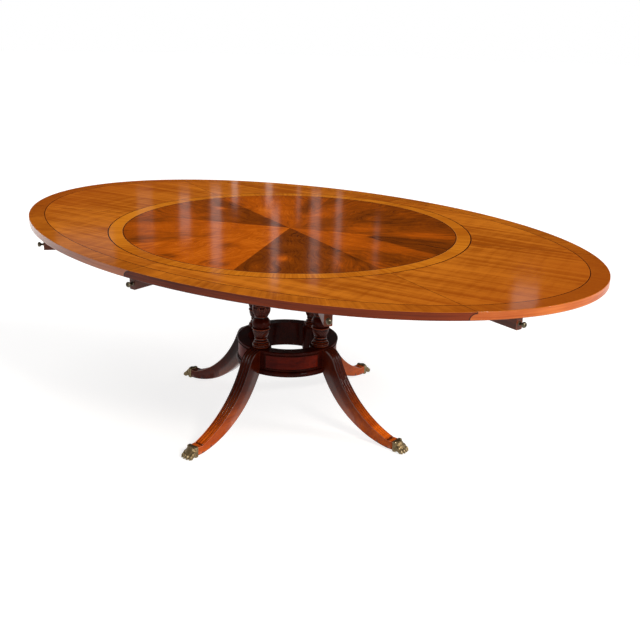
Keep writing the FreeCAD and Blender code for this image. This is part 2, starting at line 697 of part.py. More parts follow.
def make_paws(legs):
    """Four brass lion's-paw caps over the ends of the legs."""
    heel = "(leg_toe_radius - paw_socket_depth)"
    tip = f"({heel} + paw_length)"
    ankle = f"({heel} + paw_length * {PAW_ANKLE_SHARE})"
    instep = f"({heel} + paw_length * {PAW_INSTEP_SHARE})"
    side = (
        (heel, "0"),
        (f"({tip} - paw_toe_length * {TOE_SOLE_SHARE})", "0", f"(paw_toe_height * {TOE_FRONT_SHARE})"),
        (f"({tip} - paw_toe_length / 2)", "paw_toe_height"),
        (instep, "(paw_toe_height + paw_wall)", "(paw_wall / 2)"),
        (ankle, "paw_height", "(paw_wall / 2)"),
        (heel, "paw_height"),
    )
    swell = f"(paw_width * {TOE_SWELL_SHARE})"
    toes = [(f"({tip} - {swell})", f"(paw_width * {share})", swell) for share in TOE_EDGE_SHARES]
    toes[-1] = toes[-1][:2]
    knuckles = f"({tip} - paw_toe_length)"
    heel_side = f"(paw_width * {PAW_NARROWING_SHARE} / 2)"
    plan = (
        (heel, f"(-{heel_side})"),
        (knuckles, "(-paw_width / 2)"),
        *toes,
        (knuckles, "(paw_width / 2)"),
        (heel, heel_side),
    )
    for index, (name, turn) in enumerate(QUARTERS):
        profile = padded(f"paw_{name}_side", "XZ_Plane", side, "paw_width", midplane=True)
        outline = padded(f"paw_{name}_plan", "XY_Plane", plan, "paw_height + paw_wall")
        whole = place(common(f"paw_{name}_solid", (profile, outline)), turn=str(turn))
        node(cut(f"paw_{name}_hollow", whole, legs[index]), f"paw_{name}")


def make_table():
    """Every piece of the table, from the top down."""
    pegs, bores = make_pegs()
    screws = make_screws()
    make_leaves(pegs)
    make_centre(bores, screws)
    make_lopers()
    block = make_frame(screws)
    columns = make_columns()
    node(cut("block", block, *columns), "top_block")
    legs = make_legs()
    make_platform(columns, legs)
    make_paws(legs)


def check_and_write():
    """Refuse a failed object or a bad shape, then write each piece to its own file."""
    doc.recompute()
    for item in doc.Objects:
        if "Invalid" in item.State or "Error" in item.State:
            raise RuntimeError(f"{item.Name} failed: {item.State}")
    for item in nodes:
        shape = item.Shape
        if shape.isNull() or not shape.isValid() or not shape.Solids:
            raise RuntimeError(f"{item.Label} has no good solid")
    os.makedirs("parts", exist_ok=True)
    for item in nodes:
        item.Shape.exportStep(os.path.join("parts", f"{item.Label}.step"))
        box = item.Shape.optimalBoundingBox(False)
        low = ", ".join(f"{value:.1f}" for value in (box.XMin, box.YMin, box.ZMin))
        high = ", ".join(f"{value:.1f}" for value in (box.XMax, box.YMax, box.ZMax))
        solids = len(item.Shape.Solids)
        print(f"{item.Label}: {solids} solids, {item.Shape.Volume / 1000:.1f} cm3, {low} to {high}")
    print(f"{len(nodes)} pieces")


make_table()
check_and_write()
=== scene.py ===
import json
import math
from functools import partialmethod

import bmesh
import bpy
import numpy as np
from bpy.props import FloatProperty, FloatVectorProperty, IntProperty, PointerProperty
from mathutils import Matrix, Vector


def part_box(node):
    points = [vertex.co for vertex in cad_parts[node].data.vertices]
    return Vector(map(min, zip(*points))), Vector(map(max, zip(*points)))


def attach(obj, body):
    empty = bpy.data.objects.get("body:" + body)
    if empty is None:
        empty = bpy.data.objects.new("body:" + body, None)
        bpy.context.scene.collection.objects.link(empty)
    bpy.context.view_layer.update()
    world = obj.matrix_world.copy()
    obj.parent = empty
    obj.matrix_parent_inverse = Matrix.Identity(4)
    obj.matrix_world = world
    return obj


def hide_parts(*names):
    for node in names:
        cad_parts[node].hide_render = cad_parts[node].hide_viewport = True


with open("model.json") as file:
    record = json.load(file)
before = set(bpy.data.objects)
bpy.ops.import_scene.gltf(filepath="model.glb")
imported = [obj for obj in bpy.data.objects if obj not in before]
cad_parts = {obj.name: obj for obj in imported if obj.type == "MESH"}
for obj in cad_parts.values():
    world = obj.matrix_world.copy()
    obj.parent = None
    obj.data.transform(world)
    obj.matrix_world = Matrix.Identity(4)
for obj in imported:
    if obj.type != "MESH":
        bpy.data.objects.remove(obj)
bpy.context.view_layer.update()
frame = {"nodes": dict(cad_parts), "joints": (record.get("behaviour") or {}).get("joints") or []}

bl_info = {
    "name": "Oval dining table",
    "version": (1, 0, 0),
    "blender": (4, 5, 0),
    "location": "View3D > Sidebar > Oval Table",
    "description": "Finishes and carved pieces of an oval extending dining table",
    "category": "Object",
}

MM = 0.001
WHITE = (1, 1, 1)
QUARTERS = (("right", 0), ("back", 90), ("left", 180), ("front", 270))

# The oval and the rings of veneer, in metres from the table's axis and above the floor.
HALF_LENGTH = 1.210
HALF_WIDTH = 0.810
TOP = 0.763
VENEER_BOTTOM = 0.762
CROSSBAND = 0.061
FLAME_RADIUS = 0.627
LIGHT_LINE = (0.6305, 0.680)

# The laps between the leaves: their angles, and the foot and radius of their quarter round.
JOINT_ANGLES = [math.radians(angle) for angle in (-22.5, 22.5, 90, 157.5, 202.5, 270)]
LAP_FOOT = 0.7375
LAP_RADIUS = 0.021

# ---- settings

# Light and dark tone of each wood, as seen on a screen.
WOODS = {
    "leaf": ("the leaves' mahogany", (200, 115, 28), (152, 75, 10)),
    "band": ("the round top's band", (206, 124, 28), (168, 88, 12)),
    "string": ("the stringing", (206, 132, 58), (62, 26, 10)),
    # The three rim tones are one wood painted for the light: the plain rim darker for painted shade, the ends
    # lighter for painted light, and two stretches pale with a painted sheen.
    "rim": ("the rim", (124, 48, 14), (78, 26, 9)),
    "end_rim": ("the rim at both ends", (204, 114, 54), (168, 78, 30)),
    "faded_rim": ("the two faded stretches of rim", (208, 124, 80), (150, 76, 42)),
    "timber": ("the wood under the top", (122, 74, 42), (84, 46, 24)),
    "loper": ("the pull-out bars", (128, 60, 34), (74, 30, 16)),
    "pedestal": ("the pedestal", (86, 24, 8), (36, 5, 3)),
    "leg": ("the legs", (226, 106, 22), (140, 46, 8)),
    "shaded_leg": ("the darker left leg", (138, 50, 16), (76, 20, 7)),
    "panel": ("the veneered panels", (128, 32, 10), (76, 12, 4)),
}
OTHER_TONES = {
    "leaf_end": ("Redder tone towards both ends of the oval", (164, 75, 13)),
    "flame_deep": ("Darkest part of the flame veneer", (78, 34, 4)),
    "flame_brown": ("Brown part of the flame veneer", (130, 60, 5)),
    "flame_orange": ("Orange part of the flame veneer", (176, 82, 7)),
    "flame_bright": ("Brightest part of the flame veneer", (210, 110, 22)),
    "joint_dirt": ("Dirt in the joints between the leaves", (34, 10, 4)),
    "pedestal_worn": ("Crests of the carving, lighter for wear and a painted highlight", (150, 62, 24)),
    "leg_worn": ("Crests of the legs' reeds, lighter for wear and a painted highlight", (206, 110, 64)),
    "brass_bright": ("Rubbed crests of the brass", (214, 200, 166)),
    "brass_aged": ("Aged brass", (118, 100, 70)),
    "brass_dark": ("Dirt in the hollows of the brass", (34, 26, 16)),
    "steel": ("Steel of the wood screws", (150, 148, 142)),
}


def tint(screen):
    """A colour as it is seen on a screen, 0 to 255, as the shaders want it."""
    shares = [value / 255 for value in screen]
    return tuple(s / 12.92 if s < 0.04045 else ((s + 0.055) / 1.055) ** 2.4 for s in shares)


def colour(key, description, screen):
    return FloatVectorProperty(
        name=key.replace("_", " ").capitalize(), description=description, subtype="COLOR",
        size=3, min=0, max=1, default=tint(screen),
    )


def colour_properties():
    """A colour for each tone in the two tables."""
    found = {key: colour(key, *entry) for key, entry in OTHER_TONES.items()}
    for wood, (place, light, dark) in WOODS.items():
        found[f"{wood}_light"] = colour(f"{wood}_light", f"Light grain of {place}", light)
        found[f"{wood}_dark"] = colour(f"{wood}_dark", f"Dark grain of {place}", dark)
    return found


def length(name, description, millimetres):
    return FloatProperty(
        name=name, description=description, unit="LENGTH", default=millimetres * MM, min=0, precision=4
    )


def count(name, description, default, least=4):
    return IntProperty(name=name, description=description, default=default, min=least)


def angle(name, description, default):
    return FloatProperty(name=name, description=description, subtype="ANGLE", default=default)


def light(name, description, default, unit="NONE"):
    return FloatProperty(name=name, description=description, unit=unit, default=default, min=0)


class OVALTABLE_PG_colours(bpy.types.PropertyGroup):
    """Colours of the woods and metals."""

    __annotations__ = colour_properties()


class OVALTABLE_PG_sizes(bpy.types.PropertyGroup):
    """Sizes of the carving and the mouldings."""

    reed_depth: length("Reed depth", "Grooves between the reeds of a leg", 5.2)
    reed_count: count("Reeds", "Reeds along the back of a leg", 3, 1)
    leg_arris: length("Leg arris", "Rounding along the belly of a leg", 4.5)
    spiral_count: count("Spirals", "Slanting flutes round a vase", 16)
    spiral_depth: length("Spiral depth", "Slanting flutes round a vase", 1.7)
    leaf_count: count("Carved leaves", "Leaves round a column", 8)
    leaf_depth: length("Leaf depth", "Ground between the carved leaves", 3.2)
    shaft_reeds: count("Shaft reeds", "Reeds round a column's shaft", 12)
    shaft_depth: length("Shaft reed depth", "Grooves round a column's shaft", 1.6)
    toe_voxel: length("Paw fineness", "Size of the paw's finest form", 0.9)
    fur_depth: length("Fur depth", "Locks of fur chased in a paw", 0.8)
    rim_arris: length("Rim arris", "Rounding along the rim's upper edge", 1.0)


class OVALTABLE_PG_stage(bpy.types.PropertyGroup):
    """Camera and light."""

    camera_place: FloatVectorProperty(
        name="Camera", description="Where the camera stands", subtype="TRANSLATION",
        default=(2.1271, -2.6276, 1.5579),
    )
    camera_turn: angle("Camera turn", "Turn about the upright axis from looking along +Y", -0.6765)
    camera_drop: angle("Camera drop", "How far the camera looks down", 0.3153)
    camera_roll: angle("Camera roll", "Tilt about the line of sight", -0.0216)
    focal_length: FloatProperty(
        name="Focal length", description="On a 36 mm wide frame", subtype="DISTANCE_CAMERA", default=50.80
    )
    overhead_strength: light("Overhead light", "Soft light from above", 0.8)
    room_strength: light("Room light", "Light from all round", 0.22)
    key_strength: light("Side light", "Light from the right end, half as strong behind it", 2.5)
    fill_power: light("Fill light", "Weak light at the left", 38, "POWER")
    low_power: light("Low window", "Light that reaches under the top from the right", 48, "POWER")
    window_glow: light("Window strips", "Brightness of the narrow lights behind the table", 0.74)


def colours():
    return bpy.context.scene.oval_table_colours


def sizes():
    return bpy.context.scene.oval_table_sizes


def stage():
    return bpy.context.scene.oval_table_stage


def tones(wood):
    """Light and dark tone of a wood."""
    return getattr(colours(), f"{wood}_light"), getattr(colours(), f"{wood}_dark")


def dimmed(tone, share):
    return [value * share for value in tone]


# ---- materials


class Value:
    """What a node puts out. Arithmetic on it adds nodes to its tree."""

    def __init__(self, socket):
        self.socket = socket
        self.tree = socket.id_data

    def maths(self, operation, *others):
        return add(self.tree, "Math", dict(enumerate((self, *others))), operation=operation)

    __add__ = partialmethod(maths, "ADD")
    __sub__ = partialmethod(maths, "SUBTRACT")
    __mul__ = partialmethod(maths, "MULTIPLY")
    __truediv__ = partialmethod(maths, "DIVIDE")
    __lt__ = partialmethod(maths, "LESS_THAN")
    __gt__ = partialmethod(maths, "GREATER_THAN")
    __abs__ = partialmethod(maths, "ABSOLUTE")

    def vector(self, operation, *others):
        output = 1 if operation in ("LENGTH", "DOT_PRODUCT") else 0
        inputs = dict(enumerate((self, *others)))
        return add(self.tree, "VectorMath", inputs, output, operation=operation)

    def part(self, index):
        """One of a vector's three parts."""
        return add(self.tree, "SeparateXYZ", {0: self}, index)

    def mapped(self, **inputs):
        return add(self.tree, "Mapping", {"Vector": self, **inputs})

    def spread(self, low, high, out_low=0.0, out_high=1.0):
        """The value spread smoothly from one range to another, and held at its ends."""
        inputs = {0: self, 1: low, 2: high, 3: out_low, 4: out_high}
        return add(self.tree, "MapRange", inputs, interpolation_type="SMOOTHSTEP")

    def noise(self, scale, detail=4.0, roughness=0.55, distortion=0.0):
        inputs = {"Vector": self, "Scale": scale, "Detail": detail, "Roughness": roughness}
        return add(self.tree, "TexNoise", {**inputs, "Distortion": distortion})


def connect(node, inputs):
    """Set a node's inputs, each to a value or to what another node puts out."""
    for name, source in inputs.items():
        socket = node.inputs[name]
        if isinstance(source, Value):
            source.tree.links.new(source.socket, socket)
        elif socket.type == "RGBA":
            socket.default_value = (*source, 1)
        else:
            socket.default_value = source


def add(tree, kind, inputs=(), output=0, **settings):
    """A new node with its settings and inputs; one of its outputs comes back."""
    node = tree.nodes.new("ShaderNode" + kind)
    for name, value in settings.items():
        setattr(node, name, value)
    connect(node, dict(inputs))
    return Value(node.outputs[output])


def new_finish(name):
    """A material, its shader, and where a point is on the table."""
    material = bpy.data.materials.new(name)
    material.use_nodes = True
    tree = material.node_tree
    return material, tree.nodes["Principled BSDF"], add(tree, "TexCoord", output="Object")


def shared(maker, name, *arguments, **options):
    """A finish that several pieces share, made once."""
    return bpy.data.materials.get(name) or maker(name, *arguments, **options)


def attribute(tree, name):
    return add(tree, "Attribute", output="Fac", attribute_name=name)


def mix(factor, first, second, blend="MIX"):
    """Two colours mixed by a factor."""
    inputs = {0: factor, 6: first, 7: second}
    return add(factor.tree, "Mix", inputs, 2, data_type="RGBA", blend_type=blend)


def layered(shade, *layers):
    """A colour under layers of others, each with its factor."""
    for factor, tone in layers:
        shade = mix(factor, shade, tone)
    return shade


def bump(height, strength, distance):
    return add(height.tree, "Bump", {"Height": height, "Strength": strength, "Distance": distance})


# Straight grain: how far its noise is stretched, and its detail, roughness and distortion.
GRAIN = (
    ((1.1, 30, 30), 6, 0.62, 0.25),  # streaks
    ((6, 190, 190), 4, 0.6, 0),  # fine figure
    ((1.4, 4.2, 4.2), 3, 0.5, 0.4),  # slow change of tone
    ((34, 5, 5), 3, 0.5, 0.6),  # ripple across the grain
    ((60, 900, 900), 2, 0.5, 0),  # pores
)
PORE = (0.62, 0.72)


def grain(place, turn, shift):
    """The five layers of a straight grain that runs along X before its turn."""
    turned = place.mapped(Rotation=(0, 0, -turn))
    return [turned.mapped(Scale=scale, Location=shift).noise(1.0, *look) for scale, *look in GRAIN]


def wood_finish(name, wood, gloss, turn=0.0, shift=(0, 0, 0), contrast=1.0, worn=None,
                shaded=None, carved_coat=0.3):
    """Straight-grained wood. gloss is coat, coat roughness, specular and base roughness.
    The crest tone, for pieces that carry a relief, lightens their crests for wear and for a painted highlight,
    and their hollows get painted shade; carved_coat is how much more coat the relief has.
    shaded is the stretch of height over which painted shade darkens the wood upwards, for the shade that the top
    casts."""
    material, shader, place = new_finish(name)
    light_tone, dark_tone = tones(wood)
    coat, coat_roughness, specular, roughness = gloss
    streaks, fine, slow, ripple, pores = grain(place, turn, shift)
    half = 0.17 / contrast
    tone = streaks * 0.42 + fine * 0.2 + slow * 0.26 + ripple * 0.12
    pore = pores.spread(*PORE)
    shade = layered(dark_tone, (tone.spread(0.5 - half, 0.5 + half), light_tone),
                    (pore * 0.35, dimmed(dark_tone, 0.45)))
    if worn is not None:
        # Crests get a lighter tone, partly wear and partly a painted highlight; hollows get painted shade.
        relief = attribute(place.tree, "relief")
        crest_share = (relief + slow * 0.3).spread(0.45, 0.95)
        hollow = relief.spread(-0.15, -0.6)
        shade = layered(shade, (crest_share * 0.65, worn), (hollow * 0.85, dimmed(dark_tone, 0.16)))
        coat = abs(relief).spread(0.18, 0.5, coat, coat + carved_coat)
    # Painted shade: the wood darkens upwards, for the shade under the top.
    if shaded:
        level = place.part(2) + slow * 0.06
        shade = mix(level.spread(*shaded), shade, (0.16, 0.09, 0.08), "MULTIPLY")
    connect(shader, {
        "Base Color": shade,
        "Coat Weight": coat,
        "Coat Roughness": coat_roughness,
        "Specular IOR Level": specular,
        "Roughness": slow.spread(0.2, 0.8, roughness - 0.06, roughness + 0.08),
        "Normal": bump(fine * 0.5 + pore * -0.6, 0.12, 0.0004),
    })
    return material


def oval_share(place, inset):
    """Distance from the axis as a share of the oval that lies inset from the rim,
    and the way outward."""
    reach = (1 / (HALF_LENGTH - inset), 1 / (HALF_WIDTH - inset), 0)
    outward = place.vector("MULTIPLY", reach)
    return outward.vector("LENGTH"), outward


def joint_distance_group():
    """Distance from the laps between the leaves: an upright lip above a quarter round."""
    found = bpy.data.node_groups.get("joint_distance")
    if found:
        return found
    group = bpy.data.node_groups.new("joint_distance", "ShaderNodeTree")
    group.interface.new_socket("Place", in_out="INPUT", socket_type="NodeSocketVector")
    group.interface.new_socket("Distance", in_out="OUTPUT", socket_type="NodeSocketFloat")
    place = Value(group.nodes.new("NodeGroupInput").outputs[0])
    height = place.part(2)
    round_rise = (height - LAP_FOOT).maths("MAXIMUM", 0.0)
    lip_drop = (height - (LAP_FOOT + LAP_RADIUS)).maths("MINIMUM", 0.0)
    nearest = 1.0
    for turn in JOINT_ANGLES:
        sine, cosine = math.sin(turn), math.cos(turn)
        out = place.vector("DOT_PRODUCT", (cosine, sine, 0))
        aside = place.vector("DOT_PRODUCT", (-sine, cosine, 0))
        inward = aside.maths("MINIMUM", 0.0)
        on_round = add(group, "CombineXYZ", {0: inward, 1: round_rise}).vector("LENGTH")
        on_round = abs(on_round - LAP_RADIUS) + aside.maths("MAXIMUM", 0.0)
        on_lip = add(group, "CombineXYZ", {0: aside, 1: lip_drop}).vector("LENGTH")
        here = on_round.maths("MINIMUM", on_lip) + (out < 0.0)
        nearest = here.maths("MINIMUM", nearest)
    connect(group.nodes.new("NodeGroupOutput"), {0: nearest})
    return group


def dirty_joints(place, shade, width):
    """Dirt along the joints between the leaves, where it gathers in the arrises that use has rounded."""
    distance = add(place.tree, "Group", {0: place}, node_tree=joint_distance_group())
    reach = place.noise(35, 3, 0.6).spread(0.3, 0.7, 0.6 * width, 1.2 * width)
    dirt = (distance / reach).spread(0.4, 1.0, 0.85, 0.0)
    return mix(dirt, shade, colours().joint_dirt)


def polish_top(shader, place, shade, slow):
    """Colour the top and polish it by hand, with faint waves and hairlines."""
    normal = bump(place.noise(9, 2, 0.4) + place.noise(240, 3, 0.6) * 0.02, 0.22, 0.0012)
    connect(shader, {
        "Base Color": shade,
        "Coat Weight": 0.36,
        "Coat Roughness": 0.09,
        "Specular IOR Level": 0.0,
        "Roughness": slow.spread(0.2, 0.8, 0.3, 0.42),
        "Normal": normal,
        "Coat Normal": normal,
    })


def leaf_finish(name, turn, shift):
    """Field veneer of a leaf: light and dark streaks, redder towards both ends of the oval."""
    paint = colours()
    material, shader, place = new_finish(name)
    streaks, fine, slow, ripple, pores = grain(place, turn, shift)
    tone = streaks * 0.40 + fine * 0.20 + slow * 0.26 + ripple * 0.14
    end = abs(place.part(0)).spread(0.62, 1.2) * slow.spread(0.2, 0.8, 0.5, 1.0)
    shade = layered(paint.leaf_dark, (tone.spread(0.41, 0.59), paint.leaf_light),
                    (end * 0.7, paint.leaf_end), (pores.spread(*PORE) * 0.3, paint.flame_deep))
    polish_top(shader, place, dirty_joints(place, shade, 1.7 * MM), slow)
    return material


def streaks_across(place, outward, fineness, shift=(0, 0, 0)):
    """Streaks of grain that run outward, across a band round the table."""
    around = outward.vector("NORMALIZE").mapped(Scale=[fineness] * 3, Location=shift)
    return around.vector("ADD", place).noise(1.0, 6, 0.65, 0.2)


def crossband_finish(name, shift):
    """Border veneer with its grain across the rim, the dark string inside it, and a painted highlight along its
    outer arris.
    """
    paint = colours()
    material, shader, place = new_finish(name)
    rim, outward = oval_share(place, 0)
    string, _ = oval_share(place, CROSSBAND)
    slow = place.noise(3.4, 3, 0.5, 0.5)
    mottle = place.noise(26, 3, 0.55, 0.5)
    tone = streaks_across(place, outward, 60, shift) * 0.42 + slow * 0.35 + mottle * 0.23
    end = abs(place.part(0)).spread(0.7, 1.2)
    # The last layer lightens the outermost rim: a painted highlight along the arris.
    shade = layered(dimmed(paint.leaf_dark, 0.82), (tone.spread(0.30, 0.72), paint.leaf_light),
                    (end * 0.75, dimmed(paint.leaf_end, 0.8)), (string < 1.0, paint.string_dark),
                    (rim.spread(0.9985, 1.0) * 0.5, paint.leaf_light))
    polish_top(shader, place, dirty_joints(place, shade, 1.7 * MM), slow)
    return material


def band_finish():
    """Light band of the round top, its grain across it."""
    material, shader, place = new_finish("band_veneer")
    slow = place.noise(3.1, 3, 0.5, 0.5)
    streaks = streaks_across(place, place.vector("MULTIPLY", (1, 1, 0)), 70)
    light_tone, dark_tone = tones("band")
    tone = (streaks * 0.55 + slow * 0.45).spread(0.36, 0.64)
    polish_top(shader, place, mix(tone, dark_tone, light_tone), slow)
    return material


def string_finish():
    """The two rings of string: dark at the rim, dark with a light line round the flames."""
    material, shader, place = new_finish("stringing")
    light_tone, dark_tone = tones("string")
    radius = place.vector("MULTIPLY", (1, 1, 0)).vector("LENGTH")
    mottle = place.noise(60, 3, 0.6)
    dark_line = mix(mottle.spread(0.3, 0.7), dimmed(dark_tone, 0.6), dimmed(dark_tone, 1.5))
    light_line = mix(mottle, colours().band_dark, light_tone)
    start, end = LIGHT_LINE
    line = (radius > start) - (radius > end)
    polish_top(shader, place, mix(line, dark_line, light_line), mottle)
    return material


def flame_finish():
    """Flame veneer. The attribute glow says how bright each part of a sheet is, partly its figure
    and partly painted sheen, and the plumes follow the sheet's own UV map."""
    paint = colours()
    material, shader, place = new_finish("flame_sheets")
    tree = place.tree
    swirl = add(tree, "TexNoise", {"Vector": place, "Scale": 5.5, "Detail": 2.0}, "Color")
    drift = swirl.vector("SUBTRACT", (0.5, 0.5, 0.5)).vector("MULTIPLY", (0.10, 0.16, 0))
    swirled = add(tree, "UVMap", uv_map="sheet").vector("ADD", drift)
    across = swirled.part(1)
    plume = swirled.part(0) - across * across * 2.6
    feather = add(tree, "CombineXYZ", {0: plume, 1: across})
    broad = feather.mapped(Scale=(11, 15, 1)).noise(1.0, 4, 0.6, 0.7)
    streak = feather.mapped(Scale=(5, 62, 1)).noise(1.0, 5, 0.62, 0.5)
    fine = feather.mapped(Scale=(14, 330, 1)).noise(1.0, 4, 0.6, 0.3)
    ripple = feather.mapped(Scale=(85, 9, 1)).noise(1.0, 3, 0.5, 0.5)
    slow = place.noise(4.2, 3, 0.55, 0.7)
    figure = broad * 0.46 + streak * 0.82 + fine * 0.62 + ripple * 0.24 + slow * 0.30
    vein = streak.spread(0.60, 0.68, 0.0, 0.22)
    level = attribute(tree, "glow") + (figure - 1.22) - vein
    stops = ((0.0, paint.flame_deep), (0.36, paint.flame_brown), (0.68, paint.flame_orange),
             (1.0, paint.flame_bright))
    shade = add(tree, "ValToRGB", {0: level})
    elements = shade.socket.node.color_ramp.elements
    while len(elements) < len(stops):
        elements.new(0.5)
    for element, (position, tone) in zip(elements, stops):
        element.position = position
        element.color = (*tone, 1)
    polish_top(shader, place, shade, slow)
    return material


def rim_finish(name, wood, shift, coat=0.2):
    """Boards of the top: polished rim with its grain along it, and dull wood below."""
    material, shader, place = new_finish(name)
    light_tone, dark_tone = tones(wood)
    _, outward = oval_share(place, 0)
    layers = place.vector("MULTIPLY", (1.5, 1.5, 150))
    spot = outward.mapped(Scale=(2.6, 2.6, 2.6), Location=shift).vector("ADD", layers)
    slow = place.mapped(Location=shift).noise(4.0, 3, 0.5)
    tone = spot.noise(1.0, 6, 0.62, 0.5) * 0.6 + slow * 0.4
    rim = dirty_joints(place, mix(tone.spread(0.34, 0.66), dark_tone, light_tone), 3.2 * MM)
    light_tone, dark_tone = tones("timber")
    streaks, fine, slow_timber, _, pores = grain(place, 0.3, shift)
    tone = streaks * 0.6 + slow_timber * 0.4
    timber = mix(tone.spread(0.35, 0.65), dark_tone, light_tone)
    under = add(place.tree, "NewGeometry", output="Normal").part(2) < -0.8
    connect(shader, {
        "Base Color": mix(under, rim, timber),
        "Coat Weight": coat,
        "Coat Roughness": 0.14,
        "Specular IOR Level": 0.08,
        "Roughness": under * 0.3 + slow.spread(0.2, 0.8, 0.28, 0.4),
        "Normal": bump(fine * 0.4 + pores * 0.3, 0.1, 0.0004),
    })
    return material


def brass_finish(name, brightness):
    """Antique brass: bright on the crests, brown in the hollows."""
    paint = colours()
    material, shader, place = new_finish(name)
    mottle = place.noise(90, 4, 0.6, 0.4)
    specks = place.noise(420, 3, 0.6)
    level = attribute(place.tree, "relief") + (mottle - 0.5) * 0.7
    dirt = level.spread(-0.05, -0.6)
    aged, bright = dimmed(paint.brass_aged, brightness), dimmed(paint.brass_bright, brightness)
    shade = mix(dirt, mix(level.spread(0.05, 0.75), aged, bright), paint.brass_dark)
    connect(shader, {
        "Base Color": mix(specks.spread(0.6, 0.75, 0.0, 0.35), shade, paint.brass_dark),
        "Metallic": dirt.spread(0.0, 1.0, 0.9, 0.35),
        "Roughness": level.spread(-0.4, 0.7, 0.62, 0.3),
        "Normal": bump(mottle * 0.5 + specks * 0.3, 0.25, 0.0004),
    })
    return material


def steel_finish():
    """Dull steel of the wood screws."""
    material, shader, place = new_finish("screw_steel")
    stains = place.noise(300, 4, 0.6)
    steel = colours().steel
    connect(shader, {
        "Base Color": mix(stains.spread(0.35, 0.75), steel, dimmed(steel, 0.35)),
        "Metallic": 1.0,
        "Roughness": stains.spread(0.3, 0.8, 0.3, 0.6),
        "Normal": bump(stains, 0.15, 0.0003),
    })
    return material


def pedestal_wood():
    return shared(wood_finish, "pedestal_mahogany", "pedestal", (0.07, 0.1, 0.02, 0.36),
                  turn=math.pi / 2, contrast=0.8, worn=colours().pedestal_worn)


def leg_wood(name, wood):
    return wood_finish(name, wood, (0.16, 0.1, 0.04, 0.34), turn=math.pi / 2, contrast=0.8,
                       worn=colours().leg_worn, shaded=(0.06, 0.24), carved_coat=0.8)


def give(node_name, material):
    """Put a finish on a CAD node, in every slot."""
    slots = frame["nodes"][node_name].data.materials
    for index in range(len(slots)):
        slots[index] = material


# ---- modelling


def only(piece):
    """Select one piece alone and make it active."""
    bpy.ops.object.select_all(action="DESELECT")
    piece.select_set(True)
    bpy.context.view_layer.objects.active = piece


def edit_all(piece):
    """Open a piece for editing, with all of it selected."""
    only(piece)
    bpy.ops.object.mode_set(mode="EDIT")
    bpy.ops.mesh.select_all(action="SELECT")


def extrude(move):
    bpy.ops.mesh.extrude_region_move(TRANSFORM_OT_translate={"value": move})


def close_up():
    """Merge doubles and turn all faces outwards, then leave edit mode."""
    bpy.ops.mesh.select_all(action="SELECT")
    bpy.ops.mesh.remove_doubles(threshold=1e-6)
    bpy.ops.mesh.normals_make_consistent(inside=False)
    bpy.ops.object.mode_set(mode="OBJECT")


def named(name):
    """The piece just added, with its name."""
    piece = bpy.context.view_layer.objects.active
    piece.name = name
    piece.data.name = name
    return piece


def linked(name, data):
    """A new object in the scene."""
    item = bpy.data.objects.new(name, data)
    bpy.context.scene.collection.objects.link(item)
    return item


def turned(degrees):
    """A turn about the table's axis."""
    return Matrix.Rotation(math.radians(degrees), 4, "Z")


def copy_turned(piece, name, degrees):
    """A copy with its own mesh, turned about the table's axis."""
    twin = piece.copy()
    twin.data = piece.data.copy()
    twin.name = name
    twin.data.name = name
    twin.data.transform(turned(degrees))
    bpy.context.scene.collection.objects.link(twin)
    return twin


def put(piece, material, body, slot, *nodes):
    """Give a piece its finish, its body and the CAD nodes that it stands for."""
    piece.data.materials.clear()
    piece.data.materials.append(material)
    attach(piece, body)
    if nodes:
        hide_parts(*nodes)
    return piece


def put_round(pattern, prefix, material, slot, node, quarters=QUARTERS):
    """Copies of a pedestal's piece round the table's axis, in the place of their CAD nodes."""
    pieces = []
    for name, degrees in quarters:
        piece = copy_turned(pattern, f"{prefix}_{name}", degrees)
        pieces.append(put(piece, material, "stand", slot, node.format(name)))
    bpy.data.objects.remove(pattern)
    return pieces


def apply_modifier(piece, kind, **settings):
    only(piece)
    modifier = piece.modifiers.new(kind.lower(), kind)
    for name, value in settings.items():
        setattr(modifier, name, value)
    bpy.ops.object.modifier_apply(modifier=modifier.name)


def smooth_shade(piece, degrees):
    only(piece)
    bpy.ops.object.shade_smooth_by_angle(angle=math.radians(degrees))


def read(elements, name, kind=np.float64, width=3):
    """One property of all of a mesh's elements, a row for each."""
    found = np.zeros(len(elements) * width, kind)
    elements.foreach_get(name, found)
    return found.reshape(-1, width)


def points_of(piece):
    return read(piece.data.vertices, "co")


def move_points(piece, points):
    piece.data.vertices.foreach_set("co", points.astype(np.float32).ravel())
    piece.data.update()


def write_attribute(piece, name, values):
    made = piece.data.attributes.new(name, "FLOAT", "POINT")
    made.data.foreach_set("value", values.astype(np.float32))


def mark_relief(piece, rounds, depth):
    """Write how far each point stands out of its smoothed surroundings, -1 to 1."""
    points = points_of(piece)
    edges = read(piece.data.edges, "vertices", np.int64, 2)
    neighbours = np.bincount(edges.ravel(), minlength=len(points)).clip(1)[:, None]
    smooth = points.copy()
    for _ in range(rounds):
        total = np.zeros_like(smooth)
        np.add.at(total, edges[:, 0], smooth[edges[:, 1]])
        np.add.at(total, edges[:, 1], smooth[edges[:, 0]])
        smooth = 0.5 * smooth + 0.5 * total / neighbours
    stands = ((points - smooth) * read(piece.data.vertices, "normal")).sum(1) / depth
    write_attribute(piece, "relief", stands.clip(-1, 1))


def arc(start, end, swell, steps):
    """Points from start to end on an arc that stands out by swell, without the last one."""
    start, end = Vector(start), Vector(end)
    if not swell:
        return [start.lerp(end, i / steps) for i in range(steps)]
    run = end - start
    half = run.length / 2
    radius = (half * half + swell * swell) / (2 * abs(swell))
    sign = math.copysign(1, swell)
    side = Vector((run.y, -run.x)).normalized() * sign
    centre = (start + end) / 2 - side * (radius - abs(swell))
    sweep = sign * 2 * math.asin(min(1, half / radius))
    return [centre + Matrix.Rotation(sweep * i / steps, 2) @ (start - centre) for i in range(steps)]


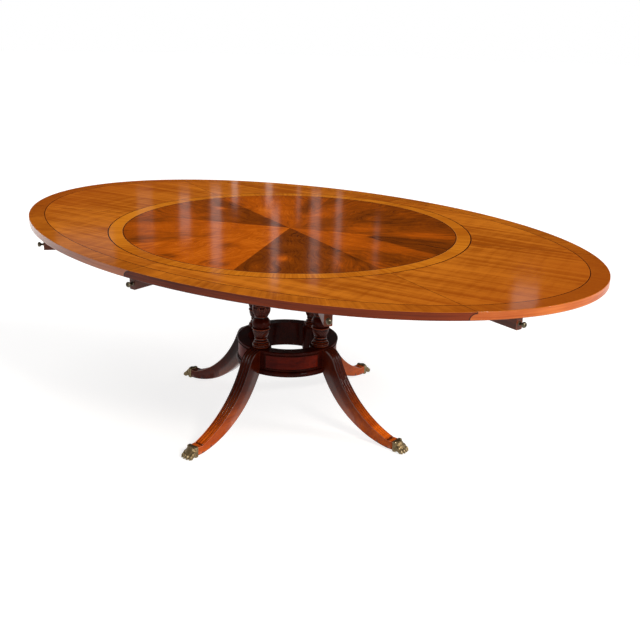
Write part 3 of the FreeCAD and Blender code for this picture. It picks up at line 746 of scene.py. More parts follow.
def turn_on_lathe(name, profile, steps):
    """A round piece about the upright axis, from points of radius and height.
    The outline is drawn by extruding one vertex, then spun."""
    bpy.ops.mesh.primitive_plane_add(size=0.01)
    piece = named(name)
    edit_all(piece)
    bpy.ops.mesh.merge(type="CENTER")
    points = [Vector((radius, 0, height)) for radius, height in profile]
    bpy.ops.transform.translate(value=points[0])
    for before, after in zip(points, points[1:]):
        extrude(after - before)
    bpy.ops.mesh.select_all(action="SELECT")
    bpy.ops.mesh.spin(steps=steps, angle=2 * math.pi, center=(0, 0, 0), axis=(0, 0, 1))
    close_up()
    return piece


# ---- the top

# Each leaf: the turn of its grain in degrees, and the wood and coat of its rim.
# The rim tones paint the light: the ends lighter for painted light, two stretches pale with a painted sheen, the
# rest darker for painted shade.
LEAVES = (
    ("back_right", 6, "faded_rim", 0.6),
    ("back_left", 2, "rim", 0.2),
    ("left_end", 8, "end_rim", 0.2),
    ("front_left", 4, "faded_rim", 0.6),
    ("front_right", 7, "rim", 0.2),
    ("right_end", 10, "end_rim", 0.2),
)

# Flame sheets in order round the table, from 22.5 degrees on.
# Each has its brightness at the middle and at the rim, and patches of
# degrees off the sheet's middle, radius, length, width and change.
# The brightness is partly each sheet's figure and partly painted sheen, for the way the light catches each sheet.
FLAME_SHEETS = (
    (0.42, 0.26, ((-15, 0.52, 0.12, 0.05, 0.34), (-4, 0.30, 0.10, 0.05, 0.16), (12, 0.48, 0.16, 0.06, -0.10))),
    (0.46, 0.30, ((12, 0.34, 0.18, 0.04, 0.20), (-12, 0.42, 0.20, 0.07, -0.12), (2, 0.58, 0.05, 0.10, 0.10))),
    (0.60, 0.52, ((-17, 0.42, 0.20, 0.035, -0.34), (8, 0.44, 0.16, 0.08, 0.10), (14, 0.30, 0.08, 0.04, 0.18))),
    (0.20, 0.44, ((-10, 0.44, 0.035, 0.025, 0.50), (12, 0.46, 0.14, 0.05, 0.16), (-15, 0.54, 0.10, 0.05, -0.14))),
    (0.72, 0.48, ((-6, 0.50, 0.12, 0.06, 0.10), (-16, 0.55, 0.09, 0.06, -0.20), (16, 0.58, 0.05, 0.05, -0.24))),
    (0.74, 0.72, ((2, 0.36, 0.04, 0.03, -0.34), (-3, 0.60, 0.025, 0.04, -0.36), (14, 0.58, 0.03, 0.05, -0.26))),
    (0.20, 0.22, ((-9, 0.45, 0.04, 0.025, 0.58), (14, 0.50, 0.12, 0.05, 0.26), (-14, 0.56, 0.06, 0.05, 0.12))),
    (0.62, 0.46, ((-10, 0.56, 0.10, 0.07, -0.26), (-4, 0.38, 0.14, 0.05, 0.12), (20, 0.40, 0.20, 0.02, 0.14))),
)

# The dark wedge in the last sheet: its tip, how its edge falls, how soft
# its two edges are, and its brightness.
WEDGE_SHEET = 7
WEDGE_TIP = (0.29, 0.085)
WEDGE_FALL = -0.17
WEDGE_SOFT = (0.02, 0.008)
WEDGE_GLOW = 0.16


def sheet_glow(index, off_middle, radius):
    """Brightness of a flame sheet at an angle off its middle, in radians, and a radius."""
    middle, rim, patches = FLAME_SHEETS[index]
    glow = middle + (rim - middle) * (radius / FLAME_RADIUS) ** 1.5
    for degrees, at, along, across, change in patches:
        out = (radius - at) / along
        side = (off_middle - math.radians(degrees)) * radius / across
        glow = glow + change * np.exp(-(out ** 2) - side ** 2)
    if index == WEDGE_SHEET:
        beyond = radius * np.cos(off_middle) - WEDGE_TIP[0]
        above = radius * np.sin(off_middle) - (WEDGE_TIP[1] + beyond * WEDGE_FALL)
        inside = np.clip(above / WEDGE_SOFT[1], 0, 1) * np.clip(beyond / WEDGE_SOFT[0], 0, 1)
        glow = glow + inside * (WEDGE_GLOW - glow)
    return glow


def make_flames():
    """Eight sheets of flame veneer, each cut from one grid and closed below.
    Their UV maps mirror each other across every joint."""
    half = math.pi / len(FLAME_SHEETS)
    material = flame_finish()
    for index in range(len(FLAME_SHEETS)):
        bpy.ops.mesh.primitive_grid_add(x_subdivisions=72, y_subdivisions=44, size=2)
        sheet = named(f"flame_{index + 1}")
        points = points_of(sheet)
        radius = FLAME_RADIUS * ((points[:, 0] + 1) / 2).clip(0.0015, 1)
        off_middle = points[:, 1] * half
        around = 2 * half * (index + 1) + off_middle
        level = np.full(len(radius), TOP)
        move_points(sheet, np.stack([radius * np.cos(around), radius * np.sin(around), level], 1))
        write_attribute(sheet, "glow", sheet_glow(index, off_middle, radius))
        flip = -1 if index % 2 else 1
        plan = np.stack([radius * np.cos(off_middle), radius * np.sin(off_middle) * flip], 1)
        layer = sheet.data.uv_layers.active
        layer.name = "sheet"
        corners = read(sheet.data.loops, "vertex_index", np.int64, 1)[:, 0]
        layer.data.foreach_set("uv", plan[corners].astype(np.float32).ravel())
        edit_all(sheet)
        extrude((0, 0, VENEER_BOTTOM - TOP))
        close_up()
        put(sheet, material, "stand", "flame_veneer", "centre_flame_veneers")


def on_upper_rim(place):
    share = math.hypot(place.x / HALF_LENGTH, place.y / HALF_WIDTH)
    return place.z > TOP - 0.1 * MM and share > 0.9995


def make_crossband(leaf, index):
    """The border of one leaf, copied from its CAD node, its rim arris rounded."""
    node_name = f"leaf_{leaf}_crossband"
    band = linked(f"border_{leaf}", frame["nodes"][node_name].data.copy())
    edit_all(band)
    bpy.ops.mesh.remove_doubles(threshold=1e-6)
    bpy.ops.mesh.tris_convert_to_quads(face_threshold=math.radians(1), shape_threshold=math.pi)
    bpy.ops.mesh.select_mode(type="EDGE")
    bpy.ops.mesh.select_all(action="DESELECT")
    mesh = bmesh.from_edit_mesh(band.data)
    for edge in mesh.edges:
        if all(on_upper_rim(vertex.co) for vertex in edge.verts):
            edge.select = True
    bmesh.update_edit_mesh(band.data)
    bpy.ops.mesh.bevel(offset=sizes().rim_arris * 0.9, segments=3, affect="EDGES", clamp_overlap=True)
    bpy.ops.mesh.select_mode(type="VERT")
    bpy.ops.object.mode_set(mode="OBJECT")
    smooth_shade(band, 35)
    apply_modifier(band, "WEIGHTED_NORMAL", keep_sharp=True, weight=100)
    material = crossband_finish(f"crossband_{leaf}", (index * 3.1, index * 1.7, 0))
    put(band, material, f"leaf_{leaf}", "crossband", node_name)


class OVALTABLE_OT_top(bpy.types.Operator):
    """Finish the leaves and the round top"""

    bl_idname = "ovaltable.top"
    bl_label = "Leaves and round top"

    def execute(self, context):
        for index, (leaf, degrees, rim, coat) in enumerate(LEAVES):
            shift = (index * 2.3 + 0.4, index * 1.9, index * 0.7)
            veneer = leaf_finish(f"leaf_veneer_{leaf}", math.radians(degrees), shift)
            give(f"leaf_{leaf}_field_veneer", veneer)
            give(f"leaf_{leaf}_board", rim_finish(f"rim_{leaf}", rim, shift, coat))
            make_crossband(leaf, index)
        give("centre_board", rim_finish("round_board", "rim", (9, 4, 1)))
        give("centre_band", band_finish())
        give("centre_strings", string_finish())
        make_flames()
        return {"FINISHED"}


# ---- lopers and their frame

# A knob's outline in millimetres, radius and place along its axis, as arcs: both ends,
# swell and steps. KNOB_SINK is how far its foot lies inside the oval's outline.
KNOB_ARCS = (
    ((0, -1.5), (6.6, -1.5), 0, 1),
    ((6.6, -1.5), (6.6, 1.0), 0, 1),
    ((6.6, 1.0), (4.4, 2.6), 0.5, 4),
    ((4.2, 3.0), (4.9, 11.6), -0.7, 8),
    ((4.9, 11.6), (6.2, 12.0), 0, 1),
    ((6.2, 12.0), (6.0, 22.4), 3.1, 16),
)
KNOB_CROWN = ((6.0, 22.4), (0, 22.9), 0.35, 6)
KNOB_SINK = 0.0161


def knob_pattern():
    """A turned brass knob that stands upright."""
    outline = [point for part in KNOB_ARCS for point in arc(*part)]
    outline += arc(*KNOB_CROWN)[1:] + [Vector(KNOB_CROWN[1])]
    pattern = turn_on_lathe("knob_pattern", [point * MM for point in outline], 40)
    smooth_shade(pattern, 35)
    mark_relief(pattern, 8, 0.6 * MM)
    return pattern


class OVALTABLE_OT_lopers(bpy.types.Operator):
    """Finish the pull-out bars, and turn a brass knob for each"""

    bl_idname = "ovaltable.lopers"
    bl_label = "Lopers and knobs"

    def execute(self, context):
        pattern = knob_pattern()
        lying = Matrix.Rotation(math.pi / 2, 4, "Y")
        for joint in frame["joints"]:
            if not joint["name"].startswith("loper_"):
                continue
            body = joint["child"]
            turn = math.atan2(joint["axis"][1], joint["axis"][0])
            sine, cosine = math.sin(turn), math.cos(turn)
            low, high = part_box(f"{body}_knob")
            rim = HALF_LENGTH * HALF_WIDTH / math.hypot(HALF_WIDTH * cosine, HALF_LENGTH * sine)
            reach = rim - KNOB_SINK
            out = Vector((cosine * reach, sine * reach, (low.z + high.z) / 2))
            knob = copy_turned(pattern, f"{body}_turned_knob", 0)
            knob.data.transform(Matrix.Translation(out) @ Matrix.Rotation(turn, 4, "Z") @ lying)
            put(knob, shared(brass_finish, "dull_brass", 0.2), body, "brass", f"{body}_knob")
            wood = wood_finish(f"{body}_wood", "loper", (0.28, 0.12, 0.12, 0.42), turn=turn,
                               shift=(turn, turn * 3, 0))
            give(f"{body}_bar", wood)
        bpy.data.objects.remove(pattern)
        return {"FINISHED"}


class OVALTABLE_OT_frame(bpy.types.Operator):
    """Finish the loper frame, its screws and the block under it"""

    bl_idname = "ovaltable.frame"
    bl_label = "Loper frame"

    def execute(self, context):
        dull = (0.08, 0.4, 0.25, 0.58)
        give("loper_guides", wood_finish("guide_wood", "timber", dull, turn=0.4))
        give("frame_plate", wood_finish("plate_wood", "timber", dull, turn=0.02, shift=(2, 5, 1)))
        give("top_block", pedestal_wood())
        give("frame_screws", steel_finish())
        return {"FINISHED"}


# ---- columns

COLUMN_RADIUS = 0.0375
COLUMN_CORE = 0.018
COLUMN_CIRCLE = 0.162
COLUMN_FOOT = 0.325
COLUMN_HEAD = 0.6274
COLUMN_HEIGHT = COLUMN_HEAD - COLUMN_FOOT

# A column's turned outline: share of its height, share of its radius,
# and how far the stretch after the point swells, as a share of the radius.
COLUMN_OUTLINE = (
    (0.000, 0.84, 0.05),
    (0.030, 0.88, 0.03),
    (0.046, 0.86, 0.00),
    (0.050, 0.80, 0.02),
    (0.060, 0.79, 0.00),
    (0.063, 0.74, -0.02),
    (0.074, 0.71, 0.02),
    (0.084, 0.69, 0.00),
    (0.087, 0.64, -0.02),
    (0.108, 0.59, 0.00),
    (0.110, 0.64, 0.03),
    (0.122, 0.64, 0.00),
    (0.126, 0.59, 0.08),
    (0.236, 0.85, 0.00),
    (0.238, 0.90, 0.03),
    (0.252, 0.90, 0.00),
    (0.260, 0.76, 0.21),
    (0.384, 0.68, 0.00),
    (0.387, 0.62, -0.02),
    (0.404, 0.62, 0.00),
    (0.406, 0.68, 0.03),
    (0.416, 0.68, 0.00),
    (0.419, 0.70, 0.15),
    (0.556, 0.90, 0.00),
    (0.560, 0.78, 0.04),
    (0.572, 0.74, 0.00),
    (0.586, 0.66, 0.08),
    (0.838, 0.58, 0.00),
    (0.844, 0.66, 0.04),
    (0.856, 0.66, 0.00),
    (0.866, 0.80, 0.10),
    (0.920, 0.80, 0.00),
    (0.928, 0.88, 0.00),
    (0.934, 0.97, 0.02),
    (0.992, 0.97, 0.00),
    (1.000, 0.95, 0.00),
)

# The carved stretches, as shares of the height, and the turn of the flutes per metre.
VASE = (0.128, 0.235)
CARVED_BLOCK = (0.421, 0.553)
SHAFT = (0.592, 0.832)
FLUTE_TWIST = math.radians(3.3) / MM

# Two rows of carved leaves: share of a leaf by which the row is turned,
# the leaves' foot and tip, and how deep the row lies.
LEAF_ROWS = ((0.5, 0.0, 0.80, 0.42), (0.0, 0.0, 0.98, 0.0))


def column_profile():
    """Points of the turned outline, in radius and height, about 1.6 mm apart."""
    points = [(0.0, COLUMN_FOOT - MM)]
    corners = [(share * COLUMN_HEIGHT + COLUMN_FOOT, radius * COLUMN_RADIUS, swell * COLUMN_RADIUS)
               for share, radius, swell in COLUMN_OUTLINE]
    for (z, r, swell), (z_after, r_after, _) in zip(corners, corners[1:]):
        run = math.hypot(z_after - z, r_after - r) + abs(swell)
        steps = max(1, round(run / 0.0016))
        points += [tuple(p) for p in arc((r, z), (r_after, z_after), swell, steps)]
    head, radius, _ = corners[-1]
    return points + [(radius, head + MM), (0.0, head + MM)]


def fade(value, low, high, edge):
    """One between low and high, falling to zero over edge inside them."""
    return np.clip((value - low) / edge, 0, 1) * np.clip((high - value) / edge, 0, 1)


def leaf_ground(around, up, leaves):
    """How deep the ground lies beside pointed, lobed leaves: 0 on a leaf, 1 between."""
    cell = around * leaves / (2 * math.pi)
    deep = np.ones_like(around)
    for offset, low, high, crest in LEAF_ROWS:
        side = np.abs((cell + offset) % 1 - 0.5) * 2
        rise = ((up - low) / (high - low)).clip(0, 1)
        width = (1 - rise ** 2.4) ** 0.5 * (0.84 + 0.13 * np.sin(rise * 4.5 * 2 * math.pi - 0.6))
        body = np.clip((width - side) / 0.16, 0, 1) * (rise < 1)
        vein = np.clip(1 - side / 0.10, 0, 1) * 0.34
        ribs = (0.5 + 0.5 * np.cos((rise * 6.5 - side * 2.2) * 2 * math.pi)) * np.clip(side / 0.25, 0, 1)
        bow = (side / np.maximum(width, 0.2)).clip(0, 1) ** 2
        surface = crest + vein + 0.16 * ribs + 0.30 * bow
        deep = deep * (1 - body) + surface.clip(0, 1) * body
    return deep.clip(0, 1)


def carve_column(column, slant):
    """Cut the slanting flutes, the leaves and the reeds into a turned column.
    A slant of 1 or -1 turns the flutes one way or the other."""
    size = sizes()
    points = points_of(column)
    x, y, z = points.T
    around, radius = np.arctan2(y, x), np.hypot(x, y)
    height = z - COLUMN_FOOT
    share = height / COLUMN_HEIGHT
    flute = np.abs(np.sin(size.spiral_count * (around + slant * FLUTE_TWIST * height) / 2)) ** 0.7
    reed = np.abs(np.sin(size.shaft_reeds * around / 2)) ** 0.6
    up = ((share - CARVED_BLOCK[0]) / (CARVED_BLOCK[1] - CARVED_BLOCK[0])).clip(0, 1)
    ground = leaf_ground(around, up, size.leaf_count)
    cut = size.spiral_depth * (1 - flute) * fade(share, *VASE, 0.02)
    cut += size.leaf_depth * ground * fade(share, *CARVED_BLOCK, 0.006)
    cut += size.shaft_depth * (1 - reed) * fade(share, *SHAFT, 0.03)
    scale = np.where(radius > COLUMN_CORE, (radius - cut) / radius.clip(1e-6), 1)
    points[:, :2] *= scale[:, None]
    move_points(column, points)


class OVALTABLE_OT_columns(bpy.types.Operator):
    """Turn and carve the four columns"""

    bl_idname = "ovaltable.columns"
    bl_label = "Columns"

    def execute(self, context):
        for slant, quarters in ((-1, QUARTERS[0::2]), (1, QUARTERS[1::2])):
            pattern = turn_on_lathe("column_pattern", column_profile(), 144)
            carve_column(pattern, slant)
            smooth_shade(pattern, 50)
            mark_relief(pattern, 7, 0.7 * MM)
            pattern.data.transform(Matrix.Translation((COLUMN_CIRCLE, 0, 0)))
            put_round(pattern, "carved_column", pedestal_wood(), "pedestal", "column_{}", quarters)
        return {"FINISHED"}


# ---- legs

# A leg's side, in metres from the table's axis and above the floor: arcs with their ends
# and swell, then a level run to the toe. It narrows from its root to its toe.
LEG_BACK = (((0.194, 0.321), (0.248, 0.285), -0.010), ((0.248, 0.285), (0.505, 0.038), 0.039))
LEG_BELLY = (((0.194, 0.231), (0.505, 0.005), 0.051),)
LEG_ENDS = (0.194, 0.5435)
LEG_HALF_WIDTHS = (0.025, 0.020)

# A leg is built of stations, the last of them level. Its section is drawn in shares of
# its half width and height: a side, the reeded share of its back, and the belly.
STATIONS = 64
LEVEL_STATIONS = 9
LEG_SIDE = ((1.0, 0.0), (1.0, 0.06), (1.0, 0.5), (1.0, 0.93), (1.0, 0.985), (0.985, 1.0))
REEDED_SHARE = 0.86
REED_STEPS = 12
LEG_SOLE = (-0.8, -0.4, 0.0, 0.4, 0.8)


def leg_section():
    """Outline across a leg: share of its half width, share of its height, and groove."""
    reeds = sizes().reed_count
    steps = reeds * REED_STEPS
    outline = [(y, z, 0) for y, z in LEG_SIDE]
    for i in range(steps + 1):
        phase = i / steps * reeds % 1
        groove = 1 - math.sqrt(1 - (2 * phase - 1) ** 2)
        outline.append((REEDED_SHARE * (1 - 2 * i / steps), 1.0, groove))
    outline += [(-y, z, 0) for y, z in reversed(LEG_SIDE)]
    return outline + [(y, 0.0, 0) for y in LEG_SOLE]


def leg_edge(arcs):
    """The back or the belly of a leg seen from its side, one point for each station."""
    points = [point for start, end, swell in arcs for point in arc(start, end, swell, 60)]
    points.append(Vector(arcs[-1][1]))
    walked = np.cumsum([0] + [(after - before).length for before, after in zip(points, points[1:])])
    wanted = np.linspace(0, walked[-1], STATIONS - LEVEL_STATIONS)
    curved = np.stack([np.interp(wanted, walked, side) for side in np.array(points).T], 1)
    block, height = arcs[-1][1]
    level = np.linspace(block, LEG_ENDS[1], LEVEL_STATIONS + 1)[1:]
    return np.concatenate([curved, np.stack([level, np.full(LEVEL_STATIONS, height)], 1)])


def bend_leg(leg, outline):
    """Move the blank's points from station, side and height to their places on the leg."""
    size = sizes()
    blank = points_of(leg)
    station = np.rint(blank[:, 0]).astype(int)
    grooves = {(round(y, 5), round(z, 5)): groove for y, z, groove in outline}
    groove = np.array([grooves[(round(y, 5), round(z, 5))] for _, y, z in blank])
    back, belly = leg_edge(LEG_BACK), leg_edge(LEG_BELLY)
    half = np.interp(back[:, 0], LEG_ENDS, LEG_HALF_WIDTHS)[station]
    belly, up = belly[station], (back - belly)[station]
    thick = np.linalg.norm(up, axis=1)
    reeded = np.clip((STATIONS - LEVEL_STATIONS + 0.5 - station) / 2, 0, 1)
    height = blank[:, 2] * thick - groove * size.reed_depth * reeded
    side = blank[:, 1] * half
    rounding = size.leg_arris
    edge = np.clip((np.abs(side) - (half - rounding)) / rounding, 0, 1)
    lift = rounding * (1 - np.sqrt(1 - edge ** 2)) * (height < rounding)
    height = np.maximum(height, lift * (blank[:, 2] < 0.03))
    place = belly + up / thick[:, None] * height[:, None]
    move_points(leg, np.stack([place[:, 0], side, place[:, 1]], 1))


class OVALTABLE_OT_legs(bpy.types.Operator):
    """Shape the four reeded legs: a straight blank, bent along the leg's curve"""

    bl_idname = "ovaltable.legs"
    bl_label = "Legs"

    def execute(self, context):
        outline = leg_section()
        bpy.ops.mesh.primitive_circle_add(vertices=len(outline), radius=1, fill_type="NGON")
        leg = named("leg_pattern")
        move_points(leg, np.array([(0, y, z) for y, z, _ in outline], float))
        edit_all(leg)
        for _ in range(STATIONS - 1):
            extrude((1, 0, 0))
        bpy.ops.object.mode_set(mode="OBJECT")
        bend_leg(leg, outline)
        edit_all(leg)
        close_up()
        smooth_shade(leg, 38)
        mark_relief(leg, 10, 1.6 * MM)
        legs = put_round(leg, "reeded_leg", leg_wood("leg_mahogany", "leg"), "pedestal", "leg_{}")
        # The left leg gets a darker copy of the leg wood: painted shade, for the shade it stands in.
        legs[2].data.materials[0] = leg_wood("dark_leg_mahogany", "shaded_leg")
        return {"FINISHED"}


# ---- paws

# A paw in millimetres: centre out from its heel, side and height, half sizes, and nod
# in degrees. Each toe repeats the toe's forms; the outer toes are set back, and
# all toes stand closer together at their root.
PAW_HEEL = 0.528
PAW_FORMS = (
    ((15, 0, 21), (17, 23.4, 23), 0),
    ((22, 0, 17), (17, 24, 17), 12),
)
TOE_SIDES = (-19.2, -6.5, 6.5, 19.2)
TOE_FORMS = (
    ((12, 0, 30), (15, 6.6, 9), 46),
    ((27, 0, 17), (13, 7.0, 11), 30),
    ((38, 0, 10), (10.5, 6.9, 9.6), 8),
    ((46, 0, 6.5), (5.4, 3.0, 4.6), 40),
)
TOE_SET_BACK = 3.5
TOE_ROOT_SHARE = 0.86
PAW_BOX = ((0.2, 49.8), (-25.9, 25.9), (0, 43.5))


def add_ball(centre, half, nod, side_turn=0.0):
    """One swelling of a paw, from a ball set at its size and place."""
    bpy.ops.mesh.primitive_uv_sphere_add(segments=28, ring_count=18, radius=1)
    ball = bpy.context.view_layer.objects.active
    place = Matrix.Translation(Vector(centre) * MM)
    turn = turned(side_turn) @ Matrix.Rotation(math.radians(nod), 4, "Y")
    ball.data.transform(place @ turn @ Matrix.Diagonal((*[size * MM for size in half], 1)))
    return ball


def chase_fur(paw):
    """Cut locks of fur along the ankle and keep the sole flat on the floor."""
    points = points_of(paw) / MM
    normals = read(paw.data.vertices, "normal")
    x, y, z = points.T
    flow = y * 0.95 + 2.2 * np.sin(x * 0.16 + y * 0.05)
    side = np.where(np.abs(normals[:, 1]) > 0.7, z * 0.8 + x * 0.25, flow)
    lock = np.abs(np.sin(side)) ** 0.6 - 0.6
    share = np.clip((30 - x) / 10, 0, 1) * np.clip((z - 3) / 4, 0, 1) * np.clip((x - 1.0) / 1.5, 0, 1)
    points = points + normals * (lock * share * sizes().fur_depth / MM)[:, None]
    low, high = np.array(PAW_BOX).T
    move_points(paw, points.clip(low, high) * MM)


class OVALTABLE_OT_paws(bpy.types.Operator):
    """Model the four brass paws: swellings melted into one form, then chased with fur"""

    bl_idname = "ovaltable.paws"
    bl_label = "Lion's paws"

    def execute(self, context):
        parts = [add_ball(*form) for form in PAW_FORMS]
        for toe in TOE_SIDES:
            set_back = TOE_SET_BACK if abs(toe) > 10 else 0
            for (x, _, z), half, nod in TOE_FORMS:
                side = toe * (TOE_ROOT_SHARE if x < 20 else 1)
                parts.append(add_ball((x - set_back, side, z), half, nod, toe * 0.5))
        bpy.ops.mesh.primitive_cube_add(size=1)
        cuff = bpy.context.view_layer.objects.active
        middle = Matrix.Translation((8 * MM, 0, 21.5 * MM))
        cuff.data.transform(middle @ Matrix.Diagonal((0.016, 0.0455, 0.0425, 1)))
        apply_modifier(cuff, "BEVEL", width=0.004, segments=3)
        for part in parts:
            part.select_set(True)
        bpy.ops.object.join()
        paw = named("paw_pattern")
        apply_modifier(paw, "REMESH", mode="VOXEL", voxel_size=sizes().toe_voxel)
        apply_modifier(paw, "SMOOTH", factor=0.5, iterations=3)
        chase_fur(paw)
        smooth_shade(paw, 60)
        mark_relief(paw, 12, 1.1 * MM)
        paw.data.transform(Matrix.Translation((PAW_HEEL, 0, 0)))
        put_round(paw, "lion_paw", shared(brass_finish, "antique_brass", 1.0), "brass", "paw_{}")
        return {"FINISHED"}


# ---- platform

PANEL_WALL = 0.194
PANEL_LOW = 0.252
PANEL_HIGH = 0.311
PANEL_HALF_ANGLE = math.radians(32)
PANEL_PROUD = 0.0015
PANEL_THICKNESS = 0.002
PANEL_INSET = 0.0042
BEAD_INSET = 0.0025
BEAD_HALF_WIDTH = 0.0024
BEAD_RISE = 0.0034
BEAD_LIFT = 0.0004
BEAD_SECTIONS = 18


def panel_field():
    """A slab on the platform's wall, bent from a flat grid."""
    bpy.ops.mesh.primitive_grid_add(x_subdivisions=48, y_subdivisions=6, size=2)
    slab = named("panel_pattern")
    points = points_of(slab)
    outer = PANEL_WALL + PANEL_PROUD
    around = points[:, 0] * (PANEL_HALF_ANGLE - PANEL_INSET / PANEL_WALL)
    half_height = (PANEL_HIGH - PANEL_LOW) / 2 - PANEL_INSET
    height = (PANEL_LOW + PANEL_HIGH) / 2 + points[:, 1] * half_height
    move_points(slab, np.stack([np.cos(around) * outer, np.sin(around) * outer, height], 1))
    apply_modifier(slab, "SOLIDIFY", thickness=PANEL_THICKNESS, offset=-1)
    edit_all(slab)
    close_up()
    smooth_shade(slab, 35)
    return slab


def panel_bead():
    """A rounded bead along the four sides of a panel: a torus laid along their path."""
    half = PANEL_HALF_ANGLE - BEAD_INSET / PANEL_WALL
    low, high = PANEL_LOW + BEAD_INSET, PANEL_HIGH - BEAD_INSET
    corners = np.array([(-half, low), (half, low), (half, high), (-half, high)])
    path = []
    for corner, after, steps in zip(corners, np.roll(corners, -1, 0), (40, 6, 40, 6)):
        path += [corner + (after - corner) * i / steps for i in range(steps)]
    path = np.array(path)
    bpy.ops.mesh.primitive_torus_add(major_segments=len(path), minor_segments=BEAD_SECTIONS,
                                     major_radius=1, minor_radius=0.1)
    bead = named("bead_pattern")
    tangent = (np.roll(path, -1, 0) - np.roll(path, 1, 0)) * (PANEL_WALL, 1)
    tangent /= np.linalg.norm(tangent, axis=1)[:, None]
    section = 2 * math.pi * np.arange(BEAD_SECTIONS) / BEAD_SECTIONS
    aside = np.cos(section) * BEAD_HALF_WIDTH
    radius = PANEL_WALL + np.sin(section) * BEAD_RISE + BEAD_LIFT
    around = path[:, :1] + tangent[:, 1:] * aside / PANEL_WALL
    height = path[:, 1:] - tangent[:, :1] * aside
    rings = np.stack([np.cos(around) * radius, np.sin(around) * radius, height], 2)
    move_points(bead, rings.reshape(-1, 3))
    edit_all(bead)
    close_up()
    smooth_shade(bead, 60)
    return bead


class OVALTABLE_OT_platform(bpy.types.Operator):
    """Finish the platform, with a beaded, veneered panel between each pair of legs"""

    bl_idname = "ovaltable.platform"
    bl_label = "Platform"

    def execute(self, context):
        give("platform", pedestal_wood())
        veneer = wood_finish("panel_veneer", "panel", (0.08, 0.08, 0.02, 0.32), turn=0.6,
                             shift=(3, 1, 2), contrast=1.3)
        field, bead = panel_field(), panel_bead()
        for pattern in (field, bead):
            pattern.data.transform(turned(45))
        put_round(field, "panel_field", veneer, "panel", "platform_panels")
        put_round(bead, "panel_bead", pedestal_wood(), "pedestal", "platform_panels")
        return {"FINISHED"}


# ---- stage

MATT = {"Roughness": 1.0, "Specular IOR Level": 0.0}

# The room behind the table, which the top mirrors, as a share of the room's light.
DIM_WALL = 0.07

# Window strips behind the table, all at one distance from the camera: degrees to the right
# of the line of sight, width, lower and upper edge above the floor, and share of the brightness.
WINDOW_DISTANCE = 9.5
WINDOW_STRIPS = (
    (-13.3, 0.60, 2.25, 2.60, 0.6),
    (-9.5, 0.16, 1.80, 2.40, 0.35),
    (-7.0, 0.11, 1.85, 2.30, 1.1),
    (-5.0, 0.11, 1.80, 2.65, 1.2),
    (-3.8, 0.06, 1.50, 1.95, 1.4),
    (-1.6, 0.07, 1.50, 1.95, 1.4),
    (-1.2, 0.08, 2.00, 2.85, 1.3),
    (0.3, 0.04, 1.70, 2.10, 0.6),
    (1.4, 0.10, 1.80, 2.80, 0.9),
    (2.9, 0.06, 1.80, 2.60, 0.9),
    (5.4, 0.05, 2.10, 2.60, 0.5),
    (15.1, 0.26, 2.72, 3.10, 1.3),
)


def ray(tree, kind):
    """One for rays of a kind, zero for all others."""
    return add(tree, "LightPath", output=f"Is {kind} Ray")


def seen_directly(tree):
    """One where the camera, a gloss or a glass shows the surface, zero for its light on others."""
    seen = ray(tree, "Camera").maths("MAXIMUM", ray(tree, "Glossy"))
    return seen.maths("MAXIMUM", ray(tree, "Transmission"))


def floor_finish():
    """Pale where it is seen, with the table's shadow on it, and a plain grey to the light."""
    material, shader, place = new_finish("pale_floor")
    tree = place.tree
    shade = mix(place.noise(1.5, 2, 0.5), (0.36, 0.355, 0.35), (0.38, 0.375, 0.37))
    connect(shader, {"Base Color": shade, **MATT})
    glow = add(tree, "Emission", {"Color": WHITE, "Strength": seen_directly(tree) * 0.80})
    both = add(tree, "AddShader", {0: Value(shader.outputs[0]), 1: glow})
    connect(tree.nodes["Material Output"], {"Surface": both})
    return material


def backdrop_finish():
    """White where it is seen."""
    material, shader, place = new_finish("pale_backdrop")
    tree = place.tree
    connect(shader, {"Base Color": (0.95, 0.95, 0.95), **MATT})
    glow = add(tree, "Emission", {"Color": WHITE, "Strength": 1.0})
    blend = add(tree, "MixShader", {0: seen_directly(tree), 1: Value(shader.outputs[0]), 2: glow})
    connect(tree.nodes["Material Output"], {"Surface": blend})
    return material


def add_lamp(name, kind, aim, place=(0, 0, 0), **settings):
    """A lamp at its place that shines along aim."""
    lamp = bpy.data.lights.new(name, kind)
    for key, value in settings.items():
        setattr(lamp, key, value)
    holder = linked(name, lamp)
    holder.location = place
    holder.rotation_euler = aim.to_track_quat("-Z", "Y").to_euler()


def add_sun(name, azimuth, elevation, softness, strength, tone=WHITE):
    """Even light from an azimuth and an elevation; softness is the angle its source fills."""
    around, up = math.radians(azimuth), math.radians(elevation)
    toward = Vector((math.cos(around) * math.cos(up), math.sin(around) * math.cos(up), math.sin(up)))
    add_lamp(name, "SUN", -toward, energy=strength, angle=math.radians(softness), color=tone)


def add_area(name, place, target, width, height, power, tone=WHITE):
    """A flat lamp at its place that faces a target."""
    aim = Vector(target) - Vector(place)
    add_lamp(name, "AREA", aim, place, shape="RECTANGLE", size=width, size_y=height,
             energy=power, color=tone)


def heading(values):
    """The way the camera looks, level with the floor."""
    return Vector((math.sin(values.camera_turn), math.cos(values.camera_turn), 0))


